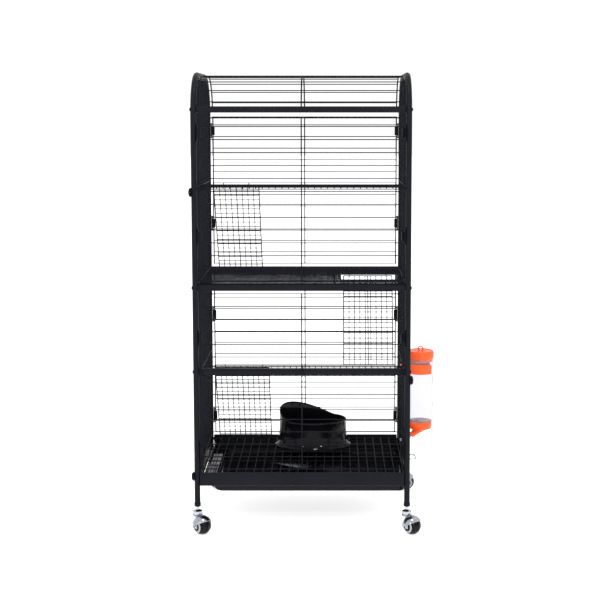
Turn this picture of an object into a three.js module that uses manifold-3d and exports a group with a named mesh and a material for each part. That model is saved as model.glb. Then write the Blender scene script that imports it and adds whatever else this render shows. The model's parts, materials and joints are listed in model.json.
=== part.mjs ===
// A tall ferret cage on casters: two bent-tube side frames, wire walls and doors,
// three mesh platforms joined by hook-on ramps, a slide-out tray under a wire
// floor grate, a food dish and a water bottle clipped to the right side.
// Millimetres, +Z up, +X to the right and +Y away from someone facing the doors.
import * as THREE from 'three';
import { mergeVertices } from 'three/addons/utils/BufferGeometryUtils.js';
import Module from 'manifold-3d';

const wasm = await Module();
wasm.setup();

// ---------------------------------------------------------------- dimensions
// Gaps
const seatGap = 0.3;             // between a piece and what carries it
const runningGap = 0.5;          // between pieces that turn or slide on each other

// Side frames, each one tube bent to an upside-down U
const frameWidth = 600;          // over the outer faces of the two side frames
const frameHeight = 1278;        // top of the tubes above the floor
const tubeDiameter = 16;
const legSpread = 410;           // front leg to rear leg, centre to centre
const bendRadius = 110;          // of the tube's centre line
const legFoot = 75;              // lower end of the legs
const tubeSides = 10;
const bendSteps = 8;

// Cross rails between the side frames
const railHeight = 17;
const railDepth = 16;
const railSetback = 1.5;         // rail's outer face behind the tube's outermost line, plus a radius
const topRailRise = 7;           // top rail's underside above the bends' centres
const middleRailZ = 680.5;       // undersides of the other two
const lowerRailZ = 447;

// Wire of the walls and doors
const wireDiameter = 2.2;
const edgeWireDiameter = 4;
const edgeWireSides = 8;
const wirePitch = 35.1;          // between the level wires of doors, back and roof
const panelInset = 6.5;          // centre of the edge wires inside the tubes' inner faces
const panelProud = 5;            // doors and back outside the tubes' centre plane
const upperPanelBottom = 708.4;  // centre of the lowest level wire
const panelHeadDrop = 14;        // thick wire along the top, below the top rail
const headWireDiameter = 3;
const lowerPanelBottom = 182;
const roofInset = 2;             // roof wires inside the tube's centre line

// Side walls
const sideWirePitch = 24.4;      // of the real wall
const sideWireStep = 2;          // one wire is drawn for every two real ones
const sideWallInset = 3;         // wall plane inside the tube's centre plane
const sideWallBottom = 178;
const sideWallSill = 4.6;        // thickness of the bar along the bottom
const crossWire = 3;             // level wires that carry the platforms
const hookTab = { reach: 4.5, width: 9 };  // on the platforms' ends, over the cross wires

// Clips that hold the panels' edge wires to the tubes
const clipHeight = 46;
const clipWall = 3;
const clipDepth = 10;
const clipPlateGap = 0.8;        // between the edge wire and the plate on the tube
const topClipDrop = 55;          // highest clips below the top rail
const lowerClipLevels = [833, 552, 233];
const knuckleHeight = 27;        // fits between two level wires

// Platforms: a flat frame with wire mesh
const meshPitch = 17.8;          // of the real mesh
const meshStep = 4;              // one opening is drawn for every four real ones
const meshWire = 3;              // strip left between two drawn openings
const platformFrame = 4;         // width of the frame round the mesh
const platformThickness = 3;
const upperShelfTop = 966;
const upperShelfLip = 8;         // height of the bar along the front
const shelfBackY = -70;          // rear edge of the upper and the lower shelf
const openingInset = 20.7;       // floor's opening in from the right end
const openingWidth = 158;
const openingFrontY = -112;
const openingBackY = 18;
const shelfTabSpaces = [1, 4];   // spaces of the side walls that the hook tabs reach over
const floorTabSpaces = [2, 13];

// Ramps: mesh boards that hook over an edge and lean down
const rampMeshPitch = 15.8;
const rampMeshStep = 3;
const rampThickness = 2.6;
const rampHook = 5.2;            // outer radius of the hooks
const rampHookWall = 2;
const rampHookWidth = 3;
const rampHookInset = 24;        // hooks in from each side
const rampHookLead = 0.25;       // radians that a hook starts inside the board
const rampHookSteps = 9;
const rampHookWrap = 185;        // from the level on the board's side, over the edge and down
const rampFootOverlap = 5;       // of the middle ramp's foot on the shelf below
const rampInset = 33.7;          // upper and lower ramp in from the platforms' left end
const upperRampWidth = 131;
const upperRampLean = 57;        // below level
const lowerRampWidth = 157;
const lowerRampLean = 60;
const middleRampGap = 7;         // to the opening's sides

// Base: sheet aprons with runners for the tray and the floor grate
const apronBottom = 134;
const apronTop = 174;
const apronSheet = 2.5;
const apronLip = 26;             // lower runner, carries the tray
const apronLedge = 21;           // upper runner, carries the grate
const apronLedgeZ = 160;

// Floor grate
const grateRod = 4;
const grateWire = 2.4;
const gratePitch = 25;           // of the real grate
const grateStep = 2;             // one wire is drawn for every two real ones
const grateInset = 9.5;          // front and rear rod in from the legs' centre planes
const grateWireInset = 1;        // end wires in from the rods' ends
const grateWeld = 0.4;           // how far a wire sinks into a rod

// Slide-out tray
const trayWall = 3;
const trayInset = 16;            // left end inside the tube's centre plane
const trayProud = 4;             // right end outside the tube's centre plane
const trayGap = 11;              // front and rear wall in from the legs' centre planes
const tubInsetLeft = 26;         // the deeper lower part, in from the upper one
const tubInsetRight = 6;
const tubInsetY = 16;
const trayBottom = 109;
const trayFloorTop = 120;
const trayEndTop = 170;          // the right end stands higher, as a drawer front
const trayCorner = 14;
const handleReach = 33;
const handleWidth = 50;
const handleRod = 4;
const handleY = -15;
const handleZ = 163;

// Casters
const ballRadius = 25;
const hoodWall = 2.4;
const hoodGap = 1.2;             // between the ball and the hood over it
const casterTrail = 22;          // swivel axis to axle
const wheelHalfWidth = 19.5;
const wheelGroove = { depth: 4, halfWidth: 1, shoulder: 2 };  // round the middle of the ball
const hoodRim = 4;               // lower edge of the hood above the axle
const cheek = { halfWidth: 5, thickness: 2, bottom: -6, top: 14 };  // beside the axle
const neck = { radius: 15, topRadius: 7, bottom: 40, top: 9 };  // top below the stem's end
const stemRadius = 4;
const stemLength = 10;
const hoodSides = 14;
const hoodBands = 9;
const wheelSides = 18;
const wheelBands = 3;
const casterTurn = {             // where each wheel trails, degrees from +X
  front_left: -50, front_right: -50, rear_left: 50, rear_right: 0,
};

// Food dish
const dishCentre = { x: 25.4, y: 113 };
const dishHalfWidth = 102;       // body
const dishHalfDepth = 74;
const dishFlange = 12.5;         // foot flange beyond the body
const dishWall = 3;
const dishFloor = 12;            // top of its floor above the foot
const dishRim = 80;              // low rim above the foot
const dishBack = 39;             // extra height of the high back
const dishBackTurn = 140;        // direction of the high back, degrees from +X
const dishBackSharpness = 1.3;   // power of the cosine that draws the back's outline
const dishSectors = 28;

// Water bottle on the right side
const bottleRadius = 38;
const bottleReach = 51.5;        // its axis outside the side wall's plane
const bottleSpace = 7;           // its spout passes this space between the side wall's wires
const bottleWall = 2;
const bottleBottom = 272;
const bottleTop = 456;
const bottleChamfer = 4;
const lidHeight = 24;            // above the bottle's rim
const lidPlug = 8;               // depth of the lid's plug in the bottle
const lidOverhang = 0.5;
const lidChamfer = 3;
const lidLoopRadius = 7;
const lidLoopWire = 3.6;
const lidLoopRise = 4.5;         // centre of the loop above the lid
const clipZ0 = 415;
const clipZ1 = 443;
const clipMouth = 45;            // half the mouth of the snap clip, degrees
const clipRingSteps = 18;
const bottleClipGap = 0.4;       // between the ring and the bottle
const bottleClipWall = 2.5;
const clipFoot = { halfWidth: 20, inset: 2 };  // against the side wall
const prong = { reach: 9, halfWidth: 8, halfHeight: 2.5, inset: 7 };  // between its wires
const baseRadius = 34.5;
const baseBottom = 248;
const baseChamfer = { width: 5, height: 6 };
const spout = { x: 4, rise: 8, angle: 45, length: 42, rootRadius: 17, tipRadius: 7.5 };
const nozzleRadius = 3.5;
const nozzleLead = 6;            // straight part before its bend
const nozzleDrop = 8;            // from the bend to the tip
const nozzleInside = 4;          // tip inside the side wall's plane
const bottleSides = 24;

// Plastic caps over the shelf and base bolts
const capRadius = 12.5;
const capHeight = 7;
const capEdge = 2;               // height of the straight edge
const capRounding = [[3, 1.5], [7, 0]];  // in from the edge, below the top
const capPlaces = {              // side and height of each
  bolt_cap_left_upper: [-1, 951], bolt_cap_right_lower: [1, 432], bolt_cap_left_base: [-1, 160],
};

// ------------------------------------------------------------ derived places
const degree = Math.PI / 180;
const tubeRadius = tubeDiameter / 2;
const tubeX = frameWidth / 2 - tubeRadius;
const tubeInnerX = tubeX - tubeRadius;
const legY = legSpread / 2;
const tubeTopZ = frameHeight - tubeRadius;
const bendZ = tubeTopZ - bendRadius;
const bendY = legY - bendRadius;
const railOuterY = legY + railSetback;
const railInnerY = railOuterY - railDepth;
const topRailZ = bendZ + topRailRise;
const betweenTubes = tubeInnerX - seatGap;
const panelHalfWidth = tubeInnerX - panelInset;
const panelY = legY + panelProud;
const upperPanelHead = topRailZ - panelHeadDrop;
const upperPanelWires = 1 + Math.floor((upperPanelHead - upperPanelBottom) / wirePitch);
const lowerPanelRoom = middleRailZ - seatGap - edgeWireDiameter / 2 - lowerPanelBottom;
const lowerPanelWires = 1 + Math.floor(lowerPanelRoom / wirePitch);
const clipLevels = [topRailZ - topClipDrop, ...lowerClipLevels];
const sideWallX = tubeX - sideWallInset;
const platformHalfWidth = sideWallX - edgeWireDiameter / 2 - seatGap;
const platformFrontY = -(legY - tubeRadius - 2 * seatGap);
const middleFloorTop = middleRailZ + railHeight + seatGap + platformThickness;
const lowerShelfTop = lowerRailZ - seatGap;
const sideWallEndY = legY - tubeRadius - seatGap - edgeWireDiameter / 2;
const sideWallSpaces = Math.round((2 * sideWallEndY) / sideWirePitch);
const sideWallStep = (2 * sideWallEndY) / sideWallSpaces;
const openingX1 = platformHalfWidth - openingInset;
const floorOpening = { x0: openingX1 - openingWidth, x1: openingX1, y0: openingFrontY, y1: openingBackY };
const rampX0 = rampInset - platformHalfWidth;
const bottleX = sideWallX + bottleReach;
const bottleY = -sideWallEndY + (bottleSpace + 0.5) * sideWallStep;
const lidTop = bottleTop + lidHeight;
const grateHalfWidth = tubeInnerX;
const grateHalfDepth = legY - grateInset;
const trayLeft = trayInset - tubeX;
const trayRight = tubeX + trayProud;
const trayHalfDepth = legY - trayGap;
const ledgeTop = apronLedgeZ + apronSheet;
const grateTop = ledgeTop + seatGap + grateRod + grateWire - grateWeld;

// ------------------------------------------------------------------ materials
function finish(name, color, roughness, metalness, opacity = 1) {
  const material = new THREE.MeshStandardMaterial({ color, roughness, metalness });
  material.name = name;
  material.opacity = opacity;
  material.transparent = opacity < 1;
  return material;
}
const blackPaint = finish('black_paint', 0x1d1f24, 0.42, 0.35);
const blackWire = finish('black_wire', 0x22242a, 0.45, 0.3);
const blackPlastic = finish('black_plastic', 0x17181b, 0.5, 0);
const glossBlack = finish('gloss_black', 0x0c0d10, 0.08, 0);
const chrome = finish('chrome', 0xc9ccd2, 0.15, 1);
const orangePlastic = finish('orange_plastic', 0xff6a35, 0.35, 0);
const clearPlastic = finish('clear_plastic', 0xeef0fa, 0.08, 0, 0.35);

// -------------------------------------------------------------- solid helpers
function toSolid(geometry) {
  const bare = geometry.index ? geometry.toNonIndexed() : geometry.clone();
  bare.deleteAttribute('normal');
  bare.deleteAttribute('uv');
  const merged = mergeVertices(bare, 1e-4);
  return new wasm.Manifold(new wasm.Mesh({
    numProp: 3,
    vertProperties: new Float32Array(merged.attributes.position.array),
    triVerts: new Uint32Array(merged.index.array),
  }));
}

function toGeometry(manifold) {
  const mesh = manifold.getMesh();
  const geometry = new THREE.BufferGeometry();
  geometry.setAttribute('position', new THREE.BufferAttribute(mesh.vertProperties, 3));
  geometry.setIndex(new THREE.BufferAttribute(mesh.triVerts, 1));
  return geometry;
}

function join(geometries) {
  return toGeometry(geometries.map(toSolid).reduce((whole, next) => whole.add(next)));
}

function cut(geometry, cutters) {
  return toGeometry(cutters.map(toSolid).reduce((whole, next) => whole.subtract(next), toSolid(geometry)));
}

function keep(geometry, region) {
  return toGeometry(toSolid(geometry).intersect(toSolid(region)));
}

function block(x0, x1, y0, y1, z0, z1) {
  const box = new THREE.BoxGeometry(x1 - x0, y1 - y0, z1 - z0);
  return box.translate((x0 + x1) / 2, (y0 + y1) / 2, (z0 + z1) / 2);
}

// A square bar of a wire's thickness along one axis.
function bar(axis, from, to, a, b, thick) {
  const half = thick / 2;
  if (axis === 'x') return block(from, to, a - half, a + half, b - half, b + half);
  if (axis === 'y') return block(a - half, a + half, from, to, b - half, b + half);
  return block(a - half, a + half, b - half, b + half, from, to);
}

// A solid cylinder or cone frustum from one point to another.
function rod(from, to, r0, r1 = r0, sides = 12) {
  const start = new THREE.Vector3(...from);
  const run = new THREE.Vector3(...to).sub(start);
  const length = run.length();
  const geometry = new THREE.CylinderGeometry(r1, r0, length, sides);
  geometry.translate(0, length / 2, 0);
  const turn = new THREE.Quaternion().setFromUnitVectors(new THREE.Vector3(0, 1, 0), run.normalize());
  return geometry.applyQuaternion(turn).translate(start.x, start.y, start.z);
}

// A round bar of many sides swept along a list of points.
function sweep(points, radius, sides) {
  const section = new THREE.Shape();
  for (let i = 0; i < sides; i += 1) {
    const angle = (2 * Math.PI * i) / sides;
    const method = i === 0 ? 'moveTo' : 'lineTo';
    section[method](radius * Math.cos(angle), radius * Math.sin(angle));
  }
  section.closePath();
  const path = new THREE.CurvePath();
  for (let i = 1; i < points.length; i += 1) path.add(new THREE.LineCurve3(points[i - 1], points[i]));
  path.getPointAt = (u) => points[Math.round(u * (points.length - 1))].clone();
  path.getTangentAt = (u) => {
    const i = Math.round(u * (points.length - 1));
    const before = points[Math.max(i - 1, 0)];
    const after = points[Math.min(i + 1, points.length - 1)];
    return after.clone().sub(before).normalize();
  };
  path.getSpacedPoints = () => points.map((point) => point.clone());
  const steps = points.length - 1;
  return new THREE.ExtrudeGeometry(section, { steps, extrudePath: path, bevelEnabled: false });
}

// A section drawn in Y and Z, run along +X from x = 0.
function extrudeAlongX(section, length) {
  const geometry = new THREE.ExtrudeGeometry(section, { depth: length, bevelEnabled: false });
  return geometry.applyMatrix4(new THREE.Matrix4().makeBasis(
    new THREE.Vector3(0, 1, 0), new THREE.Vector3(0, 0, 1), new THREE.Vector3(1, 0, 0)));
}

// A flat rectangular sheet with rectangular openings, from its top down by its thickness.
function sheet([x0, x1, y0, y1], openings, thickness, top) {
  const whole = block(x0, x1, y0, y1, top - thickness, top);
  return cut(whole, openings.map((hole) =>
    block(hole.x0, hole.x1, hole.y0, hole.y1, top - thickness - 1, top + 1)));
}

// Openings of a mesh, evenly spread, none wider than the pitch.
function meshOpenings(x0, x1, y0, y1, pitch, strip) {
  const columns = Math.ceil((x1 - x0) / pitch);
  const rows = Math.ceil((y1 - y0) / pitch);
  const stepX = (x1 - x0 + strip) / columns;
  const stepY = (y1 - y0 + strip) / rows;
  const openings = [];
  for (let c = 0; c < columns; c += 1) {
    for (let r = 0; r < rows; r += 1) {
      const left = x0 + c * stepX;
      const near = y0 + r * stepY;
      openings.push({ x0: left, x1: left + stepX - strip, y0: near, y1: near + stepY - strip });
    }
  }
  return openings;
}

const cage = new THREE.Group();
function add(name, geometry, material) {
  const mesh = new THREE.Mesh(geometry, material);
  mesh.name = name;
  cage.add(mesh);
  return mesh;
}

// ---------------------------------------------------------------- side frames
// Points of an arch in the Y-Z plane, from the front foot over the top to the rear foot.
function archPoints(x, radius, foot) {
  const front = [new THREE.Vector3(x, -(bendY + radius), foot)];
  for (let i = 0; i <= bendSteps; i += 1) {
    const angle = (Math.PI / 2) * (i / bendSteps);
    const y = -bendY - radius * Math.cos(angle);
    front.push(new THREE.Vector3(x, y, bendZ + radius * Math.sin(angle)));
  }
  const rear = front.slice().reverse().map((p) => new THREE.Vector3(p.x, -p.y, p.z));
  return front.concat(rear);
}

function addSideFrames() {
  for (const [name, side] of [['left', -1], ['right', 1]]) {
    const line = archPoints(side * tubeX, bendRadius, legFoot);
    add(`side_frame_${name}`, sweep(line, tubeRadius, tubeSides), blackPaint);
  }
}

// ---------------------------------------------------------------------- rails
function addRail(name, side, bottom) {
  const near = side < 0 ? -railOuterY : railInnerY;
  const geometry = block(-betweenTubes, betweenTubes, near, near + railDepth, bottom, bottom + railHeight);
  add(name, geometry, blackPaint);
}

function addRails() {
  addRail('top_rail_front', -1, topRailZ);
  addRail('top_rail_rear', 1, topRailZ);
  addRail('middle_rail_front', -1, middleRailZ);
  addRail('middle_rail_rear', 1, middleRailZ);
  addRail('lower_shelf_rail', -1, lowerRailZ);
}

// ----------------------------------------------------------------- wire walls
// A door or back panel: three upright wires crossed by level wires.
function wirePanel(bottom, count, head) {
  const top = head ?? bottom + (count - 1) * wirePitch;
  const half = edgeWireDiameter / 2;
  const bars = [-panelHalfWidth, 0, panelHalfWidth].map((x) =>
    rod([x, 0, bottom - half], [x, 0, top + half], half, half, edgeWireSides));
  for (let i = 0; i < count; i += 1) {
    const z = bottom + i * wirePitch;
    bars.push(bar('x', -panelHalfWidth, panelHalfWidth, 0, z, wireDiameter));
  }
  if (head) bars.push(bar('x', -panelHalfWidth, panelHalfWidth, 0, head, headWireDiameter));
  return join(bars);
}

function addPanels() {
  const upper = wirePanel(upperPanelBottom, upperPanelWires, upperPanelHead);
  const lower = wirePanel(lowerPanelBottom, lowerPanelWires);
  add('front_door_upper', upper, blackWire).position.y = -panelY;
  add('front_door_lower', lower, blackWire).position.y = -panelY;
  add('back_panel_upper', upper.clone(), blackWire).position.y = panelY;
  add('back_panel_lower', lower.clone(), blackWire).position.y = panelY;
}

function addRoof() {
  const radius = bendRadius - roofInset;
  const foot = topRailZ + railHeight + seatGap;
  const start = Math.asin((foot - bendZ) / radius);
  const points = [];
  for (let i = 0; i <= bendSteps; i += 1) {
    const angle = start + (Math.PI / 2 - start) * (i / bendSteps);
    points.push([-bendY - radius * Math.cos(angle), bendZ + radius * Math.sin(angle)]);
  }
  const whole = points.concat(points.slice().reverse().map(([y, z]) => [-y, z]));
  const uprights = [-panelHalfWidth, 0, panelHalfWidth].map((x) =>
    ribbon(x, edgeWireDiameter, whole, edgeWireDiameter, foot));
  const arc = radius * (Math.PI / 2 - start);
  const length = 2 * (arc + bendY);
  const count = Math.floor(length / wirePitch);
  const margin = (length - count * wirePitch) / 2;
  const level = [];
  for (let i = 0; i <= count; i += 1) {
    const at = margin + i * wirePitch;
    const [y, z] = pointOnArch(at, radius, start, arc, length);
    level.push(bar('x', -panelHalfWidth, panelHalfWidth, y, z, wireDiameter));
  }
  add('roof_panel', join([...uprights, ...level]), blackWire);
}

function pointOnArch(at, radius, start, arc, length) {
  if (at > length / 2) {
    const [y, z] = pointOnArch(length - at, radius, start, arc, length);
    return [-y, z];
  }
  if (at >= arc) return [-bendY + (at - arc), bendZ + radius];
  const angle = start + at / radius;
  return [-bendY - radius * Math.cos(angle), bendZ + radius * Math.sin(angle)];
}

// A strip of square section along a path in the Y-Z plane, cut level at its feet.
function ribbon(x, width, path, depth, foot) {
  const outer = [];
  const inner = [];
  path.forEach(([y, z], i) => {
    const [py, pz] = path[Math.max(i - 1, 0)];
    const [ny, nz] = path[Math.min(i + 1, path.length - 1)];
    const size = Math.hypot(ny - py, nz - pz);
    const side = [-(nz - pz) / size, (ny - py) / size];
    outer.push([y + side[0] * depth / 2, z + side[1] * depth / 2]);
    inner.push([y - side[0] * depth / 2, z - side[1] * depth / 2]);
  });
  for (const row of [outer, inner]) {
    row[0][1] = foot;
    row[row.length - 1][1] = foot;
  }
  const outline = outer.concat(inner.reverse());
  const shape = new THREE.Shape(outline.map(([y, z]) => new THREE.Vector2(y, z)));
  return extrudeAlongX(shape, width).translate(x - width / 2, 0, 0);
}

// Upright wires between the legs, under a thick wire that follows the tube's bends.
function addSideWalls() {
  const archRadius = sideWallEndY - bendY;
  const topAt = (y) => bendZ + Math.sqrt(archRadius ** 2 - Math.max(Math.abs(y) - bendY, 0) ** 2);
  const crossLevels = [upperShelfTop, middleFloorTop, lowerShelfTop].map((top) =>
    top - platformThickness - seatGap - crossWire / 2);
  for (const [name, side] of [['left', -1], ['right', 1]]) {
    const x = side * sideWallX;
    const arch = sweep(archPoints(x, archRadius, sideWallBottom), edgeWireDiameter / 2, edgeWireSides);
    const bars = [arch];
    for (let i = sideWireStep; i < sideWallSpaces; i += sideWireStep) {
      const y = -sideWallEndY + i * sideWallStep;
      bars.push(bar('z', sideWallBottom, topAt(y), x, y, wireDiameter));
    }
    for (const z of crossLevels) bars.push(bar('y', -sideWallEndY, sideWallEndY, x, z, crossWire));
    bars.push(bar('y', -sideWallEndY, sideWallEndY, x, sideWallBottom, sideWallSill));
    add(`side_wall_${name}`, join(bars), blackWire);
  }
}

// ---------------------------------------------------------------- panel clips
// A clip sits against the tube's inner face. A hinge clip closes round the edge
// wire between two level wires; a snap catch is open towards the outside.
function clipSolid(isHinge) {
  const plate0 = edgeWireDiameter / 2 + clipPlateGap;
  const plate1 = betweenTubes - panelHalfWidth;
  const clear = edgeWireDiameter / 2 + runningGap;
  const reach = edgeWireDiameter / 2 + clipWall;
  const half = knuckleHeight / 2;
  const plate = block(plate0, plate1, -clipWall, clipDepth - clipWall, -clipHeight / 2, clipHeight / 2);
  const knuckle = block(-reach, (plate0 + plate1) / 2, -reach, reach, -half, half);
  const bore = rod([0, 0, -clipHeight], [0, 0, clipHeight], clear + runningGap, clear + runningGap,
    edgeWireSides);
  const mouth = block(-clear, clear, -clipDepth, clear, -clipHeight, clipHeight);
  return join([plate, cut(knuckle, [isHinge ? bore : mouth])]);
}

// A level wire crosses some clips: each knuckle sits midway between two of them.
function knuckleLevel(level) {
  const bottom = level > middleRailZ ? upperPanelBottom : lowerPanelBottom;
  const below = Math.floor((level - bottom) / wirePitch);
  return bottom + (below + 0.5) * wirePitch;
}

function addClips() {
  const hinge = clipSolid(true);
  const snap = clipSolid(false);
  const heights = ['top', 'upper', 'lower', 'bottom'];
  clipLevels.forEach((level, i) => {
    const z = knuckleLevel(level);
    for (const [side, sign] of [['left', -1], ['right', 1]]) {
      const isHinge = sign < 0;
      const kind = isHinge ? 'hinge_clip' : 'catch_clip';
      placeClip(`${kind}_${heights[i]}`, isHinge ? hinge : snap, sign, -1, z);
      placeClip(`rear_clip_${side}_${heights[i]}`, snap, sign, 1, z);
    }
  });
}

function placeClip(name, geometry, sideX, sideY, z) {
  const placed = geometry.clone();
  // the clip is drawn for the right-hand front edge: mirror it by turning over
  const turn = new THREE.Matrix4().makeScale(sideX, -sideY, 1);
  placed.applyMatrix4(turn);
  if (sideX * -sideY < 0) flipFaces(placed);
  add(name, placed, blackPlastic).position.set(sideX * panelHalfWidth, sideY * panelY, z);
}

function flipFaces(geometry) {
  const index = geometry.index.array;
  for (let i = 0; i < index.length; i += 3) {
    const second = index[i + 1];
    index[i + 1] = index[i + 2];
    index[i + 2] = second;
  }
}

// ------------------------------------------------------------------ platforms
// Tabs at both ends that lie over a side wall's cross wire, midway between its uprights.
function hookTabs(spaces, top) {
  const tabs = [];
  for (const space of spaces) {
    const y = -sideWallEndY + (space + 0.5) * sideWallStep;
    for (const side of [-1, 1]) {
      const inner = side * (platformHalfWidth - 1);
      const outer = side * (platformHalfWidth + hookTab.reach);
      tabs.push(block(Math.min(inner, outer), Math.max(inner, outer), y - hookTab.width / 2,
        y + hookTab.width / 2, top - platformThickness, top));
    }
  }
  return tabs;
}

function addShelves() {
  const w = platformHalfWidth;
  const f = platformFrame;
  const front = platformFrontY;
  const pitch = meshPitch * meshStep;
  const openings = meshOpenings(-w + f, w - f, front + f, shelfBackY - f, pitch, meshWire);
  const upper = sheet([-w, w, front, shelfBackY], openings, platformThickness, upperShelfTop);
  const lip = block(-w, w, front, front + f, upperShelfTop - upperShelfLip, upperShelfTop);
  add('upper_shelf', join([upper, lip, ...hookTabs(shelfTabSpaces, upperShelfTop)]), blackWire);
  const lower = sheet([-w, w, front, shelfBackY], openings, platformThickness, lowerShelfTop);
  add('lower_shelf', join([lower, ...hookTabs(shelfTabSpaces, lowerShelfTop)]), blackWire);
}

function addMiddleFloor() {
  const w = platformHalfWidth;
  const f = platformFrame;
  const d = -platformFrontY;
  const hole = floorOpening;
  const pitch = meshPitch * meshStep;
  const strips = [
    [-w + f, hole.x0 - f, -d + f, d - f],
    [hole.x0, hole.x1, -d + f, hole.y0 - f],
    [hole.x0, hole.x1, hole.y1 + f, d - f],
  ];
  const openings = [hole];
  for (const [x0, x1, y0, y1] of strips) openings.push(...meshOpenings(x0, x1, y0, y1, pitch, meshWire));
  const floor = sheet([-w, w, -d, d], openings, platformThickness, middleFloorTop);
  add('middle_floor', join([floor, ...hookTabs(floorTabSpaces, middleFloorTop)]), blackWire);
}

// ---------------------------------------------------------------------- ramps
// Drawn lying along +Y from its hook, with the pivot at the origin. A board that
// leans away from +Y has its hooks on the other side.
function rampBoard(width, length, lean) {
  const inner = rampHook - rampHookWall;
  const start = rampHook - rampHookWall / 2;
  const f = platformFrame;
  const openings = meshOpenings(f, width - f, start + f, length - f, rampMeshPitch * rampMeshStep, meshWire);
  const board = sheet([0, width, start, length], openings, rampThickness, rampThickness / 2);
  const side = lean < 90 ? 1 : -1;
  const slope = lean < 90 ? lean : 180 - lean;
  const turn = (rampHookWrap + slope) * degree;
  const hooks = [rampHookInset, width - rampHookInset - rampHookWidth].map((x) =>
    hookRing(x, inner, rampHook, turn, side));
  return join([board, ...hooks]);
}

// Part of a ring in the Y-Z plane, from the board round over the pivot.
function hookRing(x, inner, outer, turn, side) {
  const at = (radius, i) => {
    const angle = side * (-rampHookLead + (turn + rampHookLead) * (i / rampHookSteps));
    return new THREE.Vector2(radius * Math.cos(angle), radius * Math.sin(angle));
  };
  const points = [];
  for (let i = 0; i <= rampHookSteps; i += 1) points.push(at(outer, i));
  for (let i = rampHookSteps; i >= 0; i -= 1) points.push(at(inner, i));
  return extrudeAlongX(new THREE.Shape(points), rampHookWidth).translate(x, 0, 0);
}

// lean is the board's angle below level, past 90 degrees for one that comes back towards -Y.
function addRamp(name, x0, width, lean, pivotY, edgeTop, footTop) {
  const pivotZ = edgeTop - platformThickness / 2;
  const angle = lean * degree;
  const rise = pivotZ - footTop - seatGap - (rampThickness / 2) * Math.abs(Math.cos(angle));
  const mesh = add(name, rampBoard(width, rise / Math.sin(angle), lean), blackWire);
  mesh.position.set(x0, pivotY, pivotZ);
  mesh.rotation.x = -angle;
}

function addRamps() {
  const edge = platformFrame / 2;
  const shelfEdgeY = shelfBackY - edge;
  addRamp('ramp_upper', rampX0, upperRampWidth, upperRampLean, shelfEdgeY, upperShelfTop, middleFloorTop);
  const pivotY = floorOpening.y1 + edge;
  const run = pivotY - shelfBackY + rampFootOverlap;
  const drop = middleFloorTop - platformThickness / 2 - lowerShelfTop;
  const backLean = 90 + Math.atan2(run, drop) / degree;
  addRamp('ramp_middle', floorOpening.x0 + middleRampGap, openingWidth - 2 * middleRampGap, backLean, pivotY,
    middleFloorTop, lowerShelfTop);
  addRamp('ramp_lower', rampX0, lowerRampWidth, lowerRampLean, shelfEdgeY, lowerShelfTop, grateTop);
}

// ----------------------------------------------------------------------- base
// Sheet with a lower runner for the tray and an upper one for the grate,
// drawn as a section and run between the legs.
function apronSection(lip, withLedge) {
  const points = [[0, apronBottom], [lip, apronBottom], [lip, apronBottom + apronSheet],
    [apronSheet, apronBottom + apronSheet]];
  if (withLedge) {
    points.push([apronSheet, apronLedgeZ], [apronLedge, apronLedgeZ],
      [apronLedge, ledgeTop], [apronSheet, ledgeTop]);
  }
  points.push([apronSheet, apronTop], [0, apronTop]);
  return new THREE.Shape(points.map(([a, b]) => new THREE.Vector2(a, b)));
}

function addAprons() {
  const outerY = legY + tubeRadius;
  const alongX = extrudeAlongX(apronSection(apronLip, true), 2 * betweenTubes);
  alongX.translate(-betweenTubes, -outerY, 0);
  add('base_apron_front', alongX, blackPaint);
  add('base_apron_rear', alongX.clone().rotateZ(Math.PI), blackPaint);
  const betweenLegs = legY - tubeRadius - seatGap;
  const shortLip = tubeRadius - seatGap;
  const alongY = extrudeAlongX(apronSection(shortLip, false), 2 * betweenLegs);
  alongY.rotateZ(-Math.PI / 2).translate(-tubeX, betweenLegs, 0);
  add('base_apron_left', alongY, blackPaint);
}

function addGrate() {
  const rodZ = ledgeTop + seatGap + grateRod / 2;
  const wireZ = rodZ + grateRod / 2 + grateWire / 2 - grateWeld;
  const rodY = grateHalfDepth - grateRod / 2;
  const bars = [-rodY, 0, rodY].map((y) => bar('x', -grateHalfWidth, grateHalfWidth, y, rodZ, grateRod));
  const spaces = Math.round((2 * grateHalfWidth) / (gratePitch * grateStep));
  const edge = grateHalfWidth - grateWire / 2 - grateWireInset;
  for (let i = 0; i <= spaces; i += 1) {
    const x = -edge + (2 * edge * i) / spaces;
    bars.push(bar('y', -rodY, rodY, x, wireZ, grateWire));
  }
  add('floor_grate', join(bars), blackWire);
}

// ----------------------------------------------------------------------- tray
function roundedRectangle(x0, x1, halfDepth, corner) {
  const shape = new THREE.Shape();
  const arcs = [[x1, halfDepth, 0], [x0, halfDepth, 1], [x0, -halfDepth, 2], [x1, -halfDepth, 3]];
  for (const [x, y, quarter] of arcs) {
    const cx = x - Math.sign(x) * corner;
    const cy = y - Math.sign(y) * corner;
    for (let i = 0; i <= 3; i += 1) {
      const angle = (Math.PI / 2) * (quarter + i / 3);
      const px = cx + corner * Math.cos(angle);
      const py = cy + corner * Math.sin(angle);
      if (quarter === 0 && i === 0) shape.moveTo(px, py);
      else shape.lineTo(px, py);
    }
  }
  return shape;
}

function slab(shape, z0, z1) {
  return new THREE.ExtrudeGeometry(shape, { depth: z1 - z0, bevelEnabled: false }).translate(0, 0, z0);
}

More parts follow.
